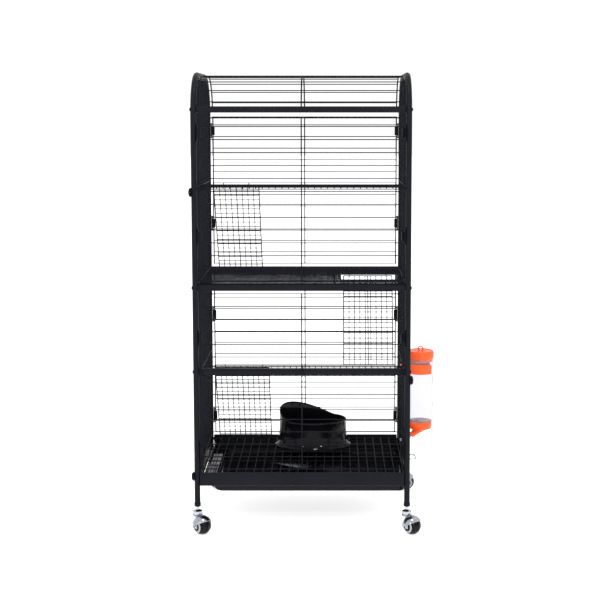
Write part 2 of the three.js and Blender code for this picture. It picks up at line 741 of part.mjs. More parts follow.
function addTray() {
  const stepZ = apronBottom + apronSheet + seatGap;
  const rimZ = apronLedgeZ - runningGap;
  const upper = roundedRectangle(trayLeft, trayRight, trayHalfDepth, trayCorner);
  const tubLeft = trayLeft + tubInsetLeft;
  const tubRight = trayRight - tubInsetRight;
  const tubHalfDepth = trayHalfDepth - tubInsetY;
  const w = trayWall;
  const lower = roundedRectangle(tubLeft, tubRight, tubHalfDepth, trayCorner + w);
  const upperInside = roundedRectangle(trayLeft + w, trayRight - w, trayHalfDepth - w, trayCorner - w);
  const lowerInside = roundedRectangle(tubLeft + w, tubRight - w, tubHalfDepth - w, trayCorner);
  const tray = join([slab(upper, stepZ, rimZ), slab(lower, trayBottom, stepZ + 1)]);
  const recess = slab(lowerInside, trayBottom - 1, trayFloorTop - w);
  const hollow = [
    slab(upperInside, stepZ + w, rimZ + 1), slab(lowerInside, trayFloorTop, stepZ + w + 1), recess,
  ];
  const endPlate = block(trayRight - w, trayRight, -trayHalfDepth + trayCorner, trayHalfDepth - trayCorner,
    rimZ - 2, trayEndTop);
  add('tray', join([cut(tray, hollow), endPlate]), glossBlack);
  addTrayHandle();
}

function addTrayHandle() {
  const x0 = trayRight + seatGap;
  const bend = handleRod * 2;
  const x1 = x0 + handleReach - handleRod / 2;
  const half = handleWidth / 2 - handleRod / 2;
  const points = [new THREE.Vector3(x0, handleY - half, handleZ)];
  for (let i = 0; i <= 3; i += 1) {
    const angle = (Math.PI / 2) * (i / 3);
    const y = handleY - half + bend - bend * Math.cos(angle);
    points.push(new THREE.Vector3(x1 - bend + bend * Math.sin(angle), y, handleZ));
  }
  const mirrored = points.slice().reverse().map((p) => new THREE.Vector3(p.x, 2 * handleY - p.y, p.z));
  add('tray_handle', sweep(points.concat(mirrored), handleRod / 2, 8), chrome);
}

// -------------------------------------------------------------------- casters
// Drawn at the swivel axis with the wheel trailing along +X and the axle along Y.
function casterHood() {
  const innerRadius = ballRadius + hoodGap;
  const ball = (radius) => new THREE.SphereGeometry(radius, hoodSides, hoodBands).rotateX(Math.PI / 2);
  const reach = 2 * ballRadius;
  const upperHalf = block(-reach, reach, -reach, reach, hoodRim, reach);
  const shell = keep(cut(ball(innerRadius + hoodWall), [ball(innerRadius)]), upperHalf);
  const near = wheelHalfWidth + runningGap;
  const far = near + cheek.thickness;
  const cheeks = [[-far, -near], [near, far]].map(([y0, y1]) =>
    block(-cheek.halfWidth, cheek.halfWidth, y0, y1, cheek.bottom, cheek.top));
  const hood = join([shell, ...cheeks]).translate(casterTrail, 0, ballRadius);
  const top = legFoot - seatGap;
  const cone = rod([0, 0, neck.bottom], [0, 0, top - neck.top], neck.radius, neck.topRadius);
  const stem = rod([0, 0, top - stemLength], [0, 0, top], stemRadius);
  const hollow = ball(innerRadius).translate(casterTrail, 0, ballRadius);
  return join([cut(join([cone, stem]), [hollow]), hood]);
}

// Twin wheel on its axle: a ball with flat sides and a groove round the middle.
function casterWheel() {
  const { depth, halfWidth, shoulder } = wheelGroove;
  const profile = [[0, wheelHalfWidth]];
  for (let i = 0; i <= wheelBands; i += 1) {
    const y = wheelHalfWidth - (wheelHalfWidth - shoulder) * (i / wheelBands);
    profile.push([Math.sqrt(ballRadius ** 2 - y ** 2), y]);
  }
  profile.push([ballRadius - depth, halfWidth]);
  const whole = profile.concat(profile.slice().reverse().map(([r, y]) => [r, -y]));
  const points = whole.reverse().map(([r, y]) => new THREE.Vector2(r, y));
  return new THREE.LatheGeometry(points, wheelSides).translate(casterTrail, 0, 0);
}

function addCasters() {
  const hood = casterHood();
  const wheel = casterWheel();
  for (const [place, turn] of Object.entries(casterTurn)) {
    const x = place.endsWith('left') ? -tubeX : tubeX;
    const y = place.startsWith('front') ? -legY : legY;
    const angle = turn * degree;
    const fork = add(`caster_hood_${place}`, hood.clone(), chrome);
    fork.position.set(x, y, 0);
    fork.rotation.z = angle;
    const roller = add(`caster_wheel_${place}`, wheel.clone(), glossBlack);
    roller.position.set(x, y, ballRadius);
    roller.rotation.z = angle;
  }
}

// ----------------------------------------------------------------------- dish
// One closed skin: up the outside from the foot, over the sloping rim, down inside.
function addDish() {
  const foot = grateTop + seatGap;
  const rimAt = (angle) => {
    const facing = Math.max(Math.cos(angle - dishBackTurn * degree), 0);
    return dishRim + dishBack * facing ** dishBackSharpness;
  };
  // how far each ring stands out from the body's outline, and its height under a rim
  const rings = [
    [dishFlange, () => 0], [dishFlange, () => dishFlange / 3], [dishFlange / 2, () => dishFloor * 0.75],
    [dishWall, () => dishFloor * 1.5], [0, (rim) => rim * 0.55], [-dishWall / 3, (rim) => rim - dishWall],
    [-dishWall * 0.6, (rim) => rim], [-dishWall * 1.3, (rim) => rim],
    [-dishWall * 1.6, (rim) => rim * 0.5], [-dishWall * 3, () => dishFloor],
  ];
  const positions = [];
  for (const [grow, height] of rings) {
    for (let i = 0; i < dishSectors; i += 1) {
      const angle = (2 * Math.PI * i) / dishSectors;
      positions.push((dishHalfWidth + grow) * Math.cos(angle), (dishHalfDepth + grow) * Math.sin(angle),
        height(rimAt(angle)));
    }
  }
  const underside = positions.length / 3;
  positions.push(0, 0, 0);
  positions.push(0, 0, dishFloor);
  const index = [];
  for (let ring = 0; ring < rings.length - 1; ring += 1) {
    for (let i = 0; i < dishSectors; i += 1) {
      const next = (i + 1) % dishSectors;
      const a = ring * dishSectors + i;
      const b = ring * dishSectors + next;
      index.push(a, b, b + dishSectors, a, b + dishSectors, a + dishSectors);
    }
  }
  const last = (rings.length - 1) * dishSectors;
  for (let i = 0; i < dishSectors; i += 1) {
    const next = (i + 1) % dishSectors;
    index.push(underside, next, i, underside + 1, last + i, last + next);
  }
  const geometry = new THREE.BufferGeometry();
  geometry.setAttribute('position', new THREE.BufferAttribute(new Float32Array(positions), 3));
  geometry.setIndex(index);
  add('food_dish', geometry, glossBlack).position.set(dishCentre.x, dishCentre.y, foot);
}

// --------------------------------------------------------------- water bottle
function lathe(profile, sides) {
  const points = profile.map(([r, z]) => new THREE.Vector2(r, z));
  return new THREE.LatheGeometry(points, sides).rotateX(Math.PI / 2);
}

function addBottle() {
  const r = bottleRadius;
  const w = bottleWall;
  const c = bottleChamfer;
  const floorTop = bottleBottom + c;
  const body = lathe([[0, bottleBottom], [r - c, bottleBottom], [r, bottleBottom + c], [r, bottleTop],
    [r - w, bottleTop], [r - w, floorTop], [0, floorTop]], bottleSides);
  const bodyMesh = add('bottle_body', body, clearPlastic);
  const plug = r - w - runningGap;
  const wide = r + lidOverhang;
  const lid = lathe([[0, bottleTop - lidPlug], [plug, bottleTop - lidPlug], [plug, bottleTop + seatGap],
    [wide, bottleTop + seatGap], [wide, lidTop - lidChamfer], [wide - lidChamfer, lidTop], [0, lidTop]],
  bottleSides);
  const loop = new THREE.TorusGeometry(lidLoopRadius, lidLoopWire / 2, 6, 12).rotateX(Math.PI / 2);
  loop.translate(0, 0, lidTop + lidLoopRise);
  const lidMesh = add('bottle_lid', join([lid, loop]), orangePlastic);
  const clipMesh = add('bottle_clip', bottleClip(), orangePlastic);
  const baseMesh = add('bottle_base', bottleBase(), orangePlastic);
  for (const mesh of [bodyMesh, lidMesh, clipMesh, baseMesh]) mesh.position.set(bottleX, bottleY, 0);
  addNozzle();
}

// A snap ring open to the right. Its foot lies against two wires of the side wall
// and its prongs are pinched between them.
function bottleClip() {
  const inner = bottleRadius + bottleClipGap;
  const outer = inner + bottleClipWall;
  const mouth = clipMouth * degree;
  const points = [];
  const at = (radius, i) => {
    const angle = mouth + (2 * Math.PI - 2 * mouth) * (i / clipRingSteps);
    return new THREE.Vector2(radius * Math.cos(angle), radius * Math.sin(angle));
  };
  for (let i = 0; i <= clipRingSteps; i += 1) points.push(at(outer, i));
  for (let i = clipRingSteps; i >= 0; i -= 1) points.push(at(inner, i));
  const ring = slab(new THREE.Shape(points), clipZ0, clipZ1);
  const wallX = sideWallX + crossWire / 2 + seatGap - bottleX;
  const { halfWidth, inset } = clipFoot;
  const foot = block(wallX, bottleClipWall / 4 - outer, -halfWidth, halfWidth, clipZ0 + inset, clipZ1 - inset);
  const prongs = [clipZ0 + prong.inset, clipZ1 - prong.inset].map((z) =>
    block(wallX - prong.reach, wallX + 1, -prong.halfWidth, prong.halfWidth, z - prong.halfHeight,
      z + prong.halfHeight));
  return join([ring, foot, ...prongs]);
}

// Cup under the bottle with a tapered spout that points down and into the cage.
function spoutLine() {
  const angle = spout.angle * degree;
  const start = new THREE.Vector3(spout.x, 0, baseBottom + spout.rise);
  const direction = new THREE.Vector3(-Math.cos(angle), 0, -Math.sin(angle));
  return { start, tip: start.clone().addScaledVector(direction, spout.length), direction };
}

function bottleBase() {
  const top = bottleBottom - seatGap;
  const { width, height } = baseChamfer;
  const cup = lathe([[0, baseBottom], [baseRadius - width, baseBottom], [baseRadius, baseBottom + height],
    [baseRadius, top], [0, top]], bottleSides);
  const { start, tip } = spoutLine();
  return join([cup, rod(start.toArray(), tip.toArray(), spout.rootRadius, spout.tipRadius)]);
}

function addNozzle() {
  const { tip, direction } = spoutLine();
  const start = tip.clone().addScaledVector(direction, seatGap);
  start.x += bottleX;
  const bend = start.clone().addScaledVector(direction, nozzleLead);
  const inside = new THREE.Vector3(sideWallX - nozzleInside, 0, bend.z - nozzleDrop);
  add('bottle_nozzle', sweep([start, bend, inside], nozzleRadius, 8), chrome).position.y = bottleY;
}

// ------------------------------------------------------------------ bolt caps
function addBoltCaps() {
  for (const [name, [side, z]] of Object.entries(capPlaces)) {
    const rounding = capRounding.map(([inset, drop]) => [capRadius - inset, capHeight - drop]);
    const cap = lathe([[0, 0], [capRadius, 0], [capRadius, capEdge], ...rounding, [0, capHeight]], 14);
    cap.rotateY((side * Math.PI) / 2);
    add(name, cap, blackPlastic).position.set(side * (frameWidth / 2 + seatGap), -legY, z);
  }
}

addSideFrames();
addRails();
addPanels();
addRoof();
addSideWalls();
addClips();
addShelves();
addMiddleFloor();
addRamps();
addAprons();
addGrate();
addTray();
addCasters();
addDish();
addBottle();
addBoltCaps();

// The origin is on the floor, under the middle of the whole footprint.
const bounds = new THREE.Box3().setFromObject(cage, true);
const middle = bounds.getCenter(new THREE.Vector3());
cage.position.set(-middle.x, -middle.y, -bounds.min.z);

export default cage;
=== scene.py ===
"""The looks of a tall ferret cage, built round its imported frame.

Each operator models one piece, or a group of like pieces, in the frame's own metres, gives it
its finish and lets it ride on the body that carries it. The stage operator adds the floor, the
soft light and the camera.
"""
import json
import math

import bpy
from bpy.props import FloatProperty, FloatVectorProperty, IntProperty, PointerProperty
from mathutils import Matrix, Vector


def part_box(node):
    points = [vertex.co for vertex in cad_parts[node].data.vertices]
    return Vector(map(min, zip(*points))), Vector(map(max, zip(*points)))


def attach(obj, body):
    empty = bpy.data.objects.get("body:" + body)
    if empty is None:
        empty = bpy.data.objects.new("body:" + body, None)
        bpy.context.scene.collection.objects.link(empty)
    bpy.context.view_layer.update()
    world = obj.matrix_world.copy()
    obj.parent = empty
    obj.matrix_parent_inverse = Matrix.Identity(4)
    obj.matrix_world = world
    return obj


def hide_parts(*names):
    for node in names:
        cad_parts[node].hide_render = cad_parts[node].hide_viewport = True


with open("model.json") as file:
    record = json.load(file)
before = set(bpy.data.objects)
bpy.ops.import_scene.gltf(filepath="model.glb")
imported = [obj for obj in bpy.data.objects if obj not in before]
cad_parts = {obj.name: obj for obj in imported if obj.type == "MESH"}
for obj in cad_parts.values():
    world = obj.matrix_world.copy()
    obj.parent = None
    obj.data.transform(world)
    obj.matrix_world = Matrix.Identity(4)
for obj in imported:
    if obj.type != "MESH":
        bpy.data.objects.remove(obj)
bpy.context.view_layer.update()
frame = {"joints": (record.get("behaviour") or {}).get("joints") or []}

bl_info = {
    "name": "Ferret cage",
    "version": (1, 0, 0),
    "blender": (4, 5, 0),
    "location": "3D View > Sidebar > Cage",
    "description": "Models the wires, platforms, tray, dish, bottle and casters of a ferret cage",
    "category": "Object",
}

SIDES = {"left": -1, "right": 1}
PLACES = ("front_left", "front_right", "rear_left", "rear_right")
LEVELS = ("top", "upper", "lower", "bottom")
X_AXIS = Vector((1, 0, 0))
Y_AXIS = Vector((0, 1, 0))
Z_AXIS = Vector((0, 0, 1))
TINY = 1e-6
SHELVES = ("upper_shelf", "middle_floor", "lower_shelf")
RAMPS = (("ramp_upper", "upper_ramp", "upper_shelf"),
         ("ramp_middle", "middle_ramp", "middle_floor"),
         ("ramp_lower", "lower_ramp", "lower_shelf"))
PLATFORM_TAB = 0.0045  # how far a platform's tabs stand out past its rim
PLATFORM_EDGE = 0.0016  # radius of the rims of platforms and ramps
TAB_THICKNESS = 0.003
TAB_SLACK = 0.0003
CARRIER_RADIUS = 0.0015  # the cross wires that carry the platforms


# ---------------------------------------------------------------- settings


class CageSizes(bpy.types.PropertyGroup):
    """Sizes that the frame's solids leave open"""

    tube: FloatProperty(name="Side tube", description="Diameter of the bent side tubes",
                        default=0.016, unit="LENGTH")
    tube_bend: FloatProperty(name="Tube bend", description="Bend radius of the tube's centre line",
                             default=0.110, unit="LENGTH")
    wire: FloatProperty(name="Wire", description="Diameter of the walls' and doors' level wires",
                        default=0.0028, unit="LENGTH")
    edge_wire: FloatProperty(name="Edge wire", description="Diameter of the wires round a panel",
                             default=0.004, unit="LENGTH")
    door_pitch: FloatProperty(name="Door pitch", description="Between the level wires of a door",
                              default=0.0351, unit="LENGTH")
    wall_spaces: IntProperty(name="Wall spaces", default=16,
                             description="Spaces between a side wall's uprights")
    mesh_pitch: FloatProperty(name="Mesh pitch", description="Between the wires of the platforms",
                              default=0.0178, unit="LENGTH")
    ramp_pitch: FloatProperty(name="Ramp pitch", description="Between the wires of the ramps",
                              default=0.0158, unit="LENGTH")
    mesh_wire: FloatProperty(name="Mesh wire", description="Diameter of the platforms' mesh wires",
                             default=0.0023, unit="LENGTH")
    grate_pitch: FloatProperty(name="Grate pitch", default=0.0250, unit="LENGTH",
                               description="Between the wires of the floor grate")
    dish_sides: IntProperty(name="Dish steps", description="Steps round the food dish", default=96)


class CageColours(bpy.types.PropertyGroup):
    """Colours of the finishes"""

    paint: FloatVectorProperty(name="Paint", description="Powder coat of tubes, rails and aprons",
                               subtype="COLOR", default=(0.0042, 0.0047, 0.0072))
    coat: FloatVectorProperty(name="Wire coat", description="Coat of the wires and meshes",
                              subtype="COLOR", default=(0.0048, 0.0054, 0.0080))
    plastic: FloatVectorProperty(name="Black plastic", description="Clips and bolt caps",
                                 subtype="COLOR", default=(0.0040, 0.0043, 0.0060))
    gloss: FloatVectorProperty(name="Gloss black", description="Tray, dish and wheels",
                               subtype="COLOR", default=(0.003, 0.003, 0.0042))
    steel: FloatVectorProperty(name="Bright steel", description="Caster hoods, nozzle and handle",
                               subtype="COLOR", default=(0.42, 0.44, 0.49))
    orange: FloatVectorProperty(name="Orange", description="Lid, clip and base of the bottle",
                                subtype="COLOR", default=(0.80, 0.088, 0.014))
    clear: FloatVectorProperty(name="Clear plastic", description="Body of the bottle",
                               subtype="COLOR", default=(0.82, 0.82, 0.87))
    grey: FloatVectorProperty(name="Light grey", description="Rims of the wheels",
                              subtype="COLOR", default=(0.30, 0.31, 0.33))


class CageStage(bpy.types.PropertyGroup):
    """Camera, floor and light"""

    eye: FloatVectorProperty(name="Camera place", subtype="TRANSLATION",
                             description="Where the photograph was taken from",
                             default=(0.0492, -3.681, 1.171))
    pitch: FloatProperty(name="Pitch", description="How far the camera looks down",
                         subtype="ANGLE", default=math.radians(6.15))
    lens: FloatProperty(name="Lens", description="Focal length in millimetres", default=76.8)
    shift: FloatVectorProperty(name="Shift", description="Shift of the lens, in frame widths",
                               size=2, default=(-0.0545, -0.085))
    floor: FloatProperty(name="Floor", description="Width of the floor",
                         default=60.0, unit="LENGTH")
    sky: FloatProperty(name="Sky light", description="Strength of the light from all round",
                       default=1.06)
    glow: FloatProperty(name="Floor glow", default=0.65,
                        description="Light from the floor, which softens the shadow")


# ------------------------------------------------------------ measuring the frame


def middle(a, b):
    return (a + b) / 2


def cage_middle():
    """X of the cage's middle plane: the origin takes in the bottle and the handle."""
    low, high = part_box("front_door_upper")
    return middle(low.x, high.x)


# ---------------------------------------------------------------- modelling helpers


def deselect():
    if bpy.context.mode != "OBJECT":
        bpy.ops.object.mode_set(mode="OBJECT")
    bpy.ops.object.select_all(action="DESELECT")


def only(piece):
    deselect()
    piece.select_set(True)
    bpy.context.view_layer.objects.active = piece


def settle(piece):
    """Puts the piece's place, turn and scale into its mesh."""
    only(piece)
    bpy.ops.object.transform_apply(location=True, rotation=True, scale=True)
    return piece


def apply_modifier(piece, kind, **values):
    only(piece)
    modifier = piece.modifiers.new(kind.title(), kind)
    for key, value in values.items():
        setattr(modifier, key, value)
    bpy.ops.object.modifier_apply(modifier=modifier.name)
    return piece


def pick(piece, kind, test):
    """Opens the piece in edit mode with the vertices or edges selected that pass the test."""
    only(piece)
    bpy.ops.object.mode_set(mode="EDIT")
    bpy.ops.mesh.select_mode(type=kind)
    bpy.ops.mesh.select_all(action="DESELECT")
    bpy.ops.object.mode_set(mode="OBJECT")
    mesh = piece.data
    if kind == "VERT":
        for vertex in mesh.vertices:
            vertex.select = test(vertex.co)
    else:
        places = [vertex.co for vertex in mesh.vertices]
        for edge in mesh.edges:
            edge.select = test(*(places[i] for i in edge.vertices))
    bpy.ops.object.mode_set(mode="EDIT")


def bevel_picked(width, segments=3):
    bpy.ops.mesh.bevel(offset=width, offset_type="OFFSET", segments=segments, affect="EDGES")
    bpy.ops.object.mode_set(mode="OBJECT")


def block(low, high, bevel=0.001, segments=3):
    """A bar or plate between two corners, all its edges rounded."""
    low, high = Vector(low), Vector(high)
    deselect()
    bpy.ops.mesh.primitive_cube_add(size=1, location=(low + high) / 2)
    piece = bpy.context.object
    piece.scale = high - low
    settle(piece)
    pick(piece, "EDGE", lambda a, b: True)
    bevel_picked(bevel, segments)
    return piece


def rod(start, end, radius, sides=10, tip=0.35):
    """A round bar with its ends softened by a share of its radius."""
    start, end = Vector(start), Vector(end)
    run = end - start
    deselect()
    bpy.ops.mesh.primitive_cylinder_add(vertices=sides, radius=radius, depth=run.length)
    piece = bpy.context.object
    if tip:
        half = run.length / 2 - TINY
        pick(piece, "EDGE", lambda a, b: abs(a.z) > half and abs(b.z) > half and a.z * b.z > 0)
        bevel_picked(radius * tip, 1)
    turn = Z_AXIS.rotation_difference(run.normalized()).to_matrix().to_4x4()
    piece.matrix_world = Matrix.Translation((start + end) / 2) @ turn
    return settle(piece)


def repeat(piece, count, step):
    """Copies the piece along a line, at even steps."""
    if count < 2:
        return piece
    return apply_modifier(piece, "ARRAY", count=count, use_relative_offset=False,
                          use_constant_offset=True, constant_offset_displace=step)


def join(pieces):
    deselect()
    for piece in pieces:
        piece.select_set(True)
    bpy.context.view_layer.objects.active = pieces[0]
    if len(pieces) > 1:
        bpy.ops.object.join()
    return pieces[0]


def duplicate(piece, transform):
    """A copy of the piece with a mesh of its own, turned or moved by a matrix."""
    only(piece)
    bpy.ops.object.duplicate()
    copy = bpy.context.object
    copy.matrix_world = transform @ copy.matrix_world
    return settle(copy)


def face_outwards(piece):
    only(piece)
    bpy.ops.object.mode_set(mode="EDIT")
    bpy.ops.mesh.select_all(action="SELECT")
    bpy.ops.mesh.normals_make_consistent(inside=False)
    bpy.ops.object.mode_set(mode="OBJECT")
    return piece


def bent_bar(points, bend, radius, sides=12, steps=8):
    """A round bar drawn through the points, with each corner bent to the given radius."""
    points = [Vector(point) for point in points]
    headings = [(b - a).normalized() for a, b in zip(points, points[1:])]
    taken = [0.0]
    for before, after in zip(headings, headings[1:]):
        taken.append(bend * math.tan(before.angle(after) / 2))
    taken.append(0.0)
    turn = Z_AXIS.rotation_difference(headings[0]).to_euler()
    deselect()
    bpy.ops.mesh.primitive_circle_add(vertices=sides, radius=radius, fill_type="NGON",
                                      location=points[0], rotation=turn)
    piece = settle(bpy.context.object)
    bpy.ops.object.mode_set(mode="EDIT")
    bpy.ops.mesh.select_mode(type="FACE")
    bpy.ops.mesh.select_all(action="SELECT")
    for i, heading in enumerate(headings):
        length = (points[i + 1] - points[i]).length - taken[i] - taken[i + 1]
        if length > TINY:
            move = {"value": heading * length}
            bpy.ops.mesh.extrude_region_move(TRANSFORM_OT_translate=move)
        if i + 1 < len(headings):
            axis = heading.cross(headings[i + 1]).normalized()
            corner = points[i + 1] - heading * taken[i + 1]
            centre = corner + axis.cross(heading) * bend
            bpy.ops.mesh.spin(steps=steps, angle=heading.angle(headings[i + 1]), center=centre,
                              axis=-axis)
    return face_outwards(piece)


def lone_point(place):
    """A mesh of one vertex, selected in edit mode."""
    deselect()
    bpy.ops.mesh.primitive_plane_add(size=1)
    piece = bpy.context.object
    bpy.ops.object.mode_set(mode="EDIT")
    bpy.ops.mesh.select_mode(type="VERT")
    bpy.ops.mesh.select_all(action="SELECT")
    bpy.ops.mesh.merge(type="CENTER")
    bpy.ops.transform.translate(value=place)
    return piece


def turned(profile, base=(0, 0, 0), axis=Z_AXIS, steps=32, closed=False):
    """(radius, height) points spun about the axis through base, joined end to start if closed."""
    piece = lone_point((profile[0][0], 0, profile[0][1]))
    for (r0, z0), (r1, z1) in zip(profile, profile[1:]):
        step = {"value": (r1 - r0, 0, z1 - z0)}
        bpy.ops.mesh.extrude_vertices_move(TRANSFORM_OT_translate=step)
    if closed:
        ends = [Vector((profile[i][0], 0, profile[i][1])) for i in (0, -1)]
        pick(piece, "VERT", lambda co: min((co - end).length for end in ends) < TINY)
        bpy.ops.mesh.edge_face_add()
    bpy.ops.mesh.select_mode(type="VERT")
    bpy.ops.mesh.select_all(action="SELECT")
    bpy.ops.mesh.spin(steps=steps, angle=math.tau, center=(0, 0, 0), axis=(0, 0, 1))
    bpy.ops.mesh.select_all(action="SELECT")
    bpy.ops.mesh.remove_doubles(threshold=TINY)
    bpy.ops.mesh.normals_make_consistent(inside=False)
    bpy.ops.object.mode_set(mode="OBJECT")
    turn = Z_AXIS.rotation_difference(Vector(axis)).to_matrix().to_4x4()
    piece.matrix_world = Matrix.Translation(Vector(base)) @ turn
    return settle(piece)


def arc_points(radius, height, start, end, steps):
    """A profile's round stretch about (radius 0, height), with angles in degrees above level."""
    points = []
    for i in range(steps + 1):
        angle = math.radians(start + (end - start) * i / steps)
        points.append((radius * math.cos(angle), height + radius * math.sin(angle)))
    return points


def dress(piece, name, body, slot, finish, *nodes, smooth=35):
    """Names a finished piece, smooths it, gives it its finish and lets it ride on its body."""
    settle(piece)
    if smooth:
        bpy.ops.object.shade_smooth_by_angle(angle=math.radians(smooth))
    piece.name = name
    piece.data.name = name
    piece.data.materials.clear()
    piece.data.materials.append(finish)
    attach(piece, body)
    if nodes:
        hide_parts(*nodes)
    return piece


# ---------------------------------------------------------------- finishes


def shader(name):
    """A new material's node tree, its Principled shader and its Object coordinates."""
    material = bpy.data.materials.new(name)
    material.use_nodes = True
    tree = material.node_tree
    return material, tree, tree.nodes["Principled BSDF"], tree.nodes.new("ShaderNodeTexCoord")


def noise(tree, coordinates, scale, detail=3.0, rough=0.5):
    texture = tree.nodes.new("ShaderNodeTexNoise")
    texture.inputs["Scale"].default_value = scale
    texture.inputs["Detail"].default_value = detail
    texture.inputs["Roughness"].default_value = rough
    tree.links.new(coordinates.outputs["Object"], texture.inputs["Vector"])
    return texture


def spread(tree, texture, low, high):
    """Maps a texture's middle range to low and high."""
    ranged = tree.nodes.new("ShaderNodeMapRange")
    ranged.inputs["From Min"].default_value = 0.3
    ranged.inputs["From Max"].default_value = 0.7
    ranged.inputs["To Min"].default_value = low
    ranged.inputs["To Max"].default_value = high
    tree.links.new(texture.outputs["Fac"], ranged.inputs["Value"])
    return ranged.outputs["Result"]


def tint(tree, texture, colour, lift):
    """The colour, up to lift times brighter where the texture is high."""
    ramp = tree.nodes.new("ShaderNodeValToRGB")
    low, high = ramp.color_ramp.elements
    low.position, high.position = 0.3, 0.7
    low.color = (*colour, 1)
    high.color = (*(min(c * lift, 1) for c in colour), 1)
    tree.links.new(texture.outputs["Fac"], ramp.inputs["Fac"])
    return ramp.outputs["Color"]


def bump(tree, texture, surface, height, strength=1.0):
    node = tree.nodes.new("ShaderNodeBump")
    node.inputs["Distance"].default_value = height
    node.inputs["Strength"].default_value = strength
    tree.links.new(texture.outputs["Fac"], node.inputs["Height"])
    tree.links.new(node.outputs["Normal"], surface.inputs["Normal"])


def coated_metal(name, colour, rough, level, grain):
    """Powder coat: a fine orange peel, with slightly uneven colour and gloss."""
    material, tree, surface, coordinates = shader(name)
    clouds = noise(tree, coordinates, 9.0, 4.0)
    peel = noise(tree, coordinates, grain, 2.0)
    tree.links.new(tint(tree, clouds, colour, 1.5), surface.inputs["Base Color"])
    tree.links.new(spread(tree, clouds, rough - 0.05, rough + 0.07), surface.inputs["Roughness"])
    surface.inputs["Specular IOR Level"].default_value = level
    bump(tree, peel, surface, 0.00012, 0.6)
    return material


def moulded_plastic(name, colour, rough, level, grain=1500.0):
    """Moulded plastic: a fine satin grain with faint flow marks."""
    material, tree, surface, coordinates = shader(name)
    flow = noise(tree, coordinates, 22.0, 3.0)
    fine = noise(tree, coordinates, grain, 2.0)
    tree.links.new(tint(tree, flow, colour, 1.12), surface.inputs["Base Color"])
    tree.links.new(spread(tree, flow, rough - 0.03, rough + 0.05), surface.inputs["Roughness"])
    surface.inputs["Specular IOR Level"].default_value = level
    bump(tree, fine, surface, 0.00004, 0.5)
    return material


def polished_plastic(name, colour, rough):
    """Moulded gloss with faint rub marks and ripples."""
    material, tree, surface, coordinates = shader(name)
    rubs = noise(tree, coordinates, 60.0, 6.0, 0.65)
    ripple = noise(tree, coordinates, 14.0, 1.0)
    tree.links.new(tint(tree, rubs, colour, 1.4), surface.inputs["Base Color"])
    tree.links.new(spread(tree, rubs, rough, rough + 0.04), surface.inputs["Roughness"])
    surface.inputs["Specular IOR Level"].default_value = 0.13
    bump(tree, ripple, surface, 0.0004, 0.25)
    return material


def bright_steel(name, colour):
    """Zinc plate: bright metal with soft clouding and fine pits."""
    material, tree, surface, coordinates = shader(name)
    clouds = noise(tree, coordinates, 75.0, 4.0, 0.6)
    pits = noise(tree, coordinates, 900.0, 2.0)
    dull = tuple(c * 0.82 for c in colour)
    tree.links.new(tint(tree, clouds, dull, 1.3), surface.inputs["Base Color"])
    tree.links.new(spread(tree, clouds, 0.08, 0.18), surface.inputs["Roughness"])
    surface.inputs["Metallic"].default_value = 1.0
    bump(tree, pits, surface, 0.00003, 0.5)
    return material


def clear_plastic(name, colour):
    """Clear plastic with a faint haze and moulding ripples."""
    material, tree, surface, coordinates = shader(name)
    haze = noise(tree, coordinates, 35.0, 3.0)
    ripple = noise(tree, coordinates, 18.0, 1.0)
    hazy = tuple(c * 0.97 for c in colour)
    tree.links.new(tint(tree, haze, hazy, 1.03), surface.inputs["Base Color"])
    tree.links.new(spread(tree, haze, 0.10, 0.22), surface.inputs["Roughness"])
    surface.inputs["Transmission Weight"].default_value = 0.9
    surface.inputs["IOR"].default_value = 1.12
    bump(tree, ripple, surface, 0.0006, 0.3)
    return material


def finishes(context):
    """All the finishes, made once and kept by name."""
    colours = context.scene.cage_colours
    makers = {
        "black_paint": lambda n: coated_metal(n, tuple(colours.paint), 0.42, 0.08, 700.0),
        "wire_coat": lambda n: coated_metal(n, tuple(colours.coat), 0.50, 0.05, 1100.0),
        "black_plastic": lambda n: moulded_plastic(n, tuple(colours.plastic), 0.46, 0.07),
        "gloss_black": lambda n: polished_plastic(n, tuple(colours.gloss), 0.06),
        "bright_steel": lambda n: bright_steel(n, tuple(colours.steel)),
        "orange_plastic": lambda n: moulded_plastic(n, tuple(colours.orange), 0.30, 0.25, 900.0),
        "clear_plastic": lambda n: clear_plastic(n, tuple(colours.clear)),
        "grey_rim": lambda n: moulded_plastic(n, tuple(colours.grey), 0.35, 0.4),
    }
    return {name: bpy.data.materials.get(f"cage_{name}") or make(f"cage_{name}")
            for name, make in makers.items()}


# ---------------------------------------------------------------- frame pieces


def rail_levels():
    """Heights of the middles of the rails that are bolted to the legs."""
    levels = []
    for node in ("top_rail_front", "middle_rail_front", "lower_shelf_rail"):
        low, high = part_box(node)
        levels.append(middle(low.z, high.z))
    return levels


def bolt_head(place, axis, radius=0.0048, proud=0.0024):
    """A low domed head with a shallow socket."""
    profile = [(0, proud * 0.55), (radius * 0.42, proud * 0.55), (radius * 0.48, proud),
               (radius * 0.72, proud * 0.92), (radius, proud * 0.35), (radius, -proud * 0.4),
               (0, -proud * 0.4)]
    return turned(profile, place, axis, 20)


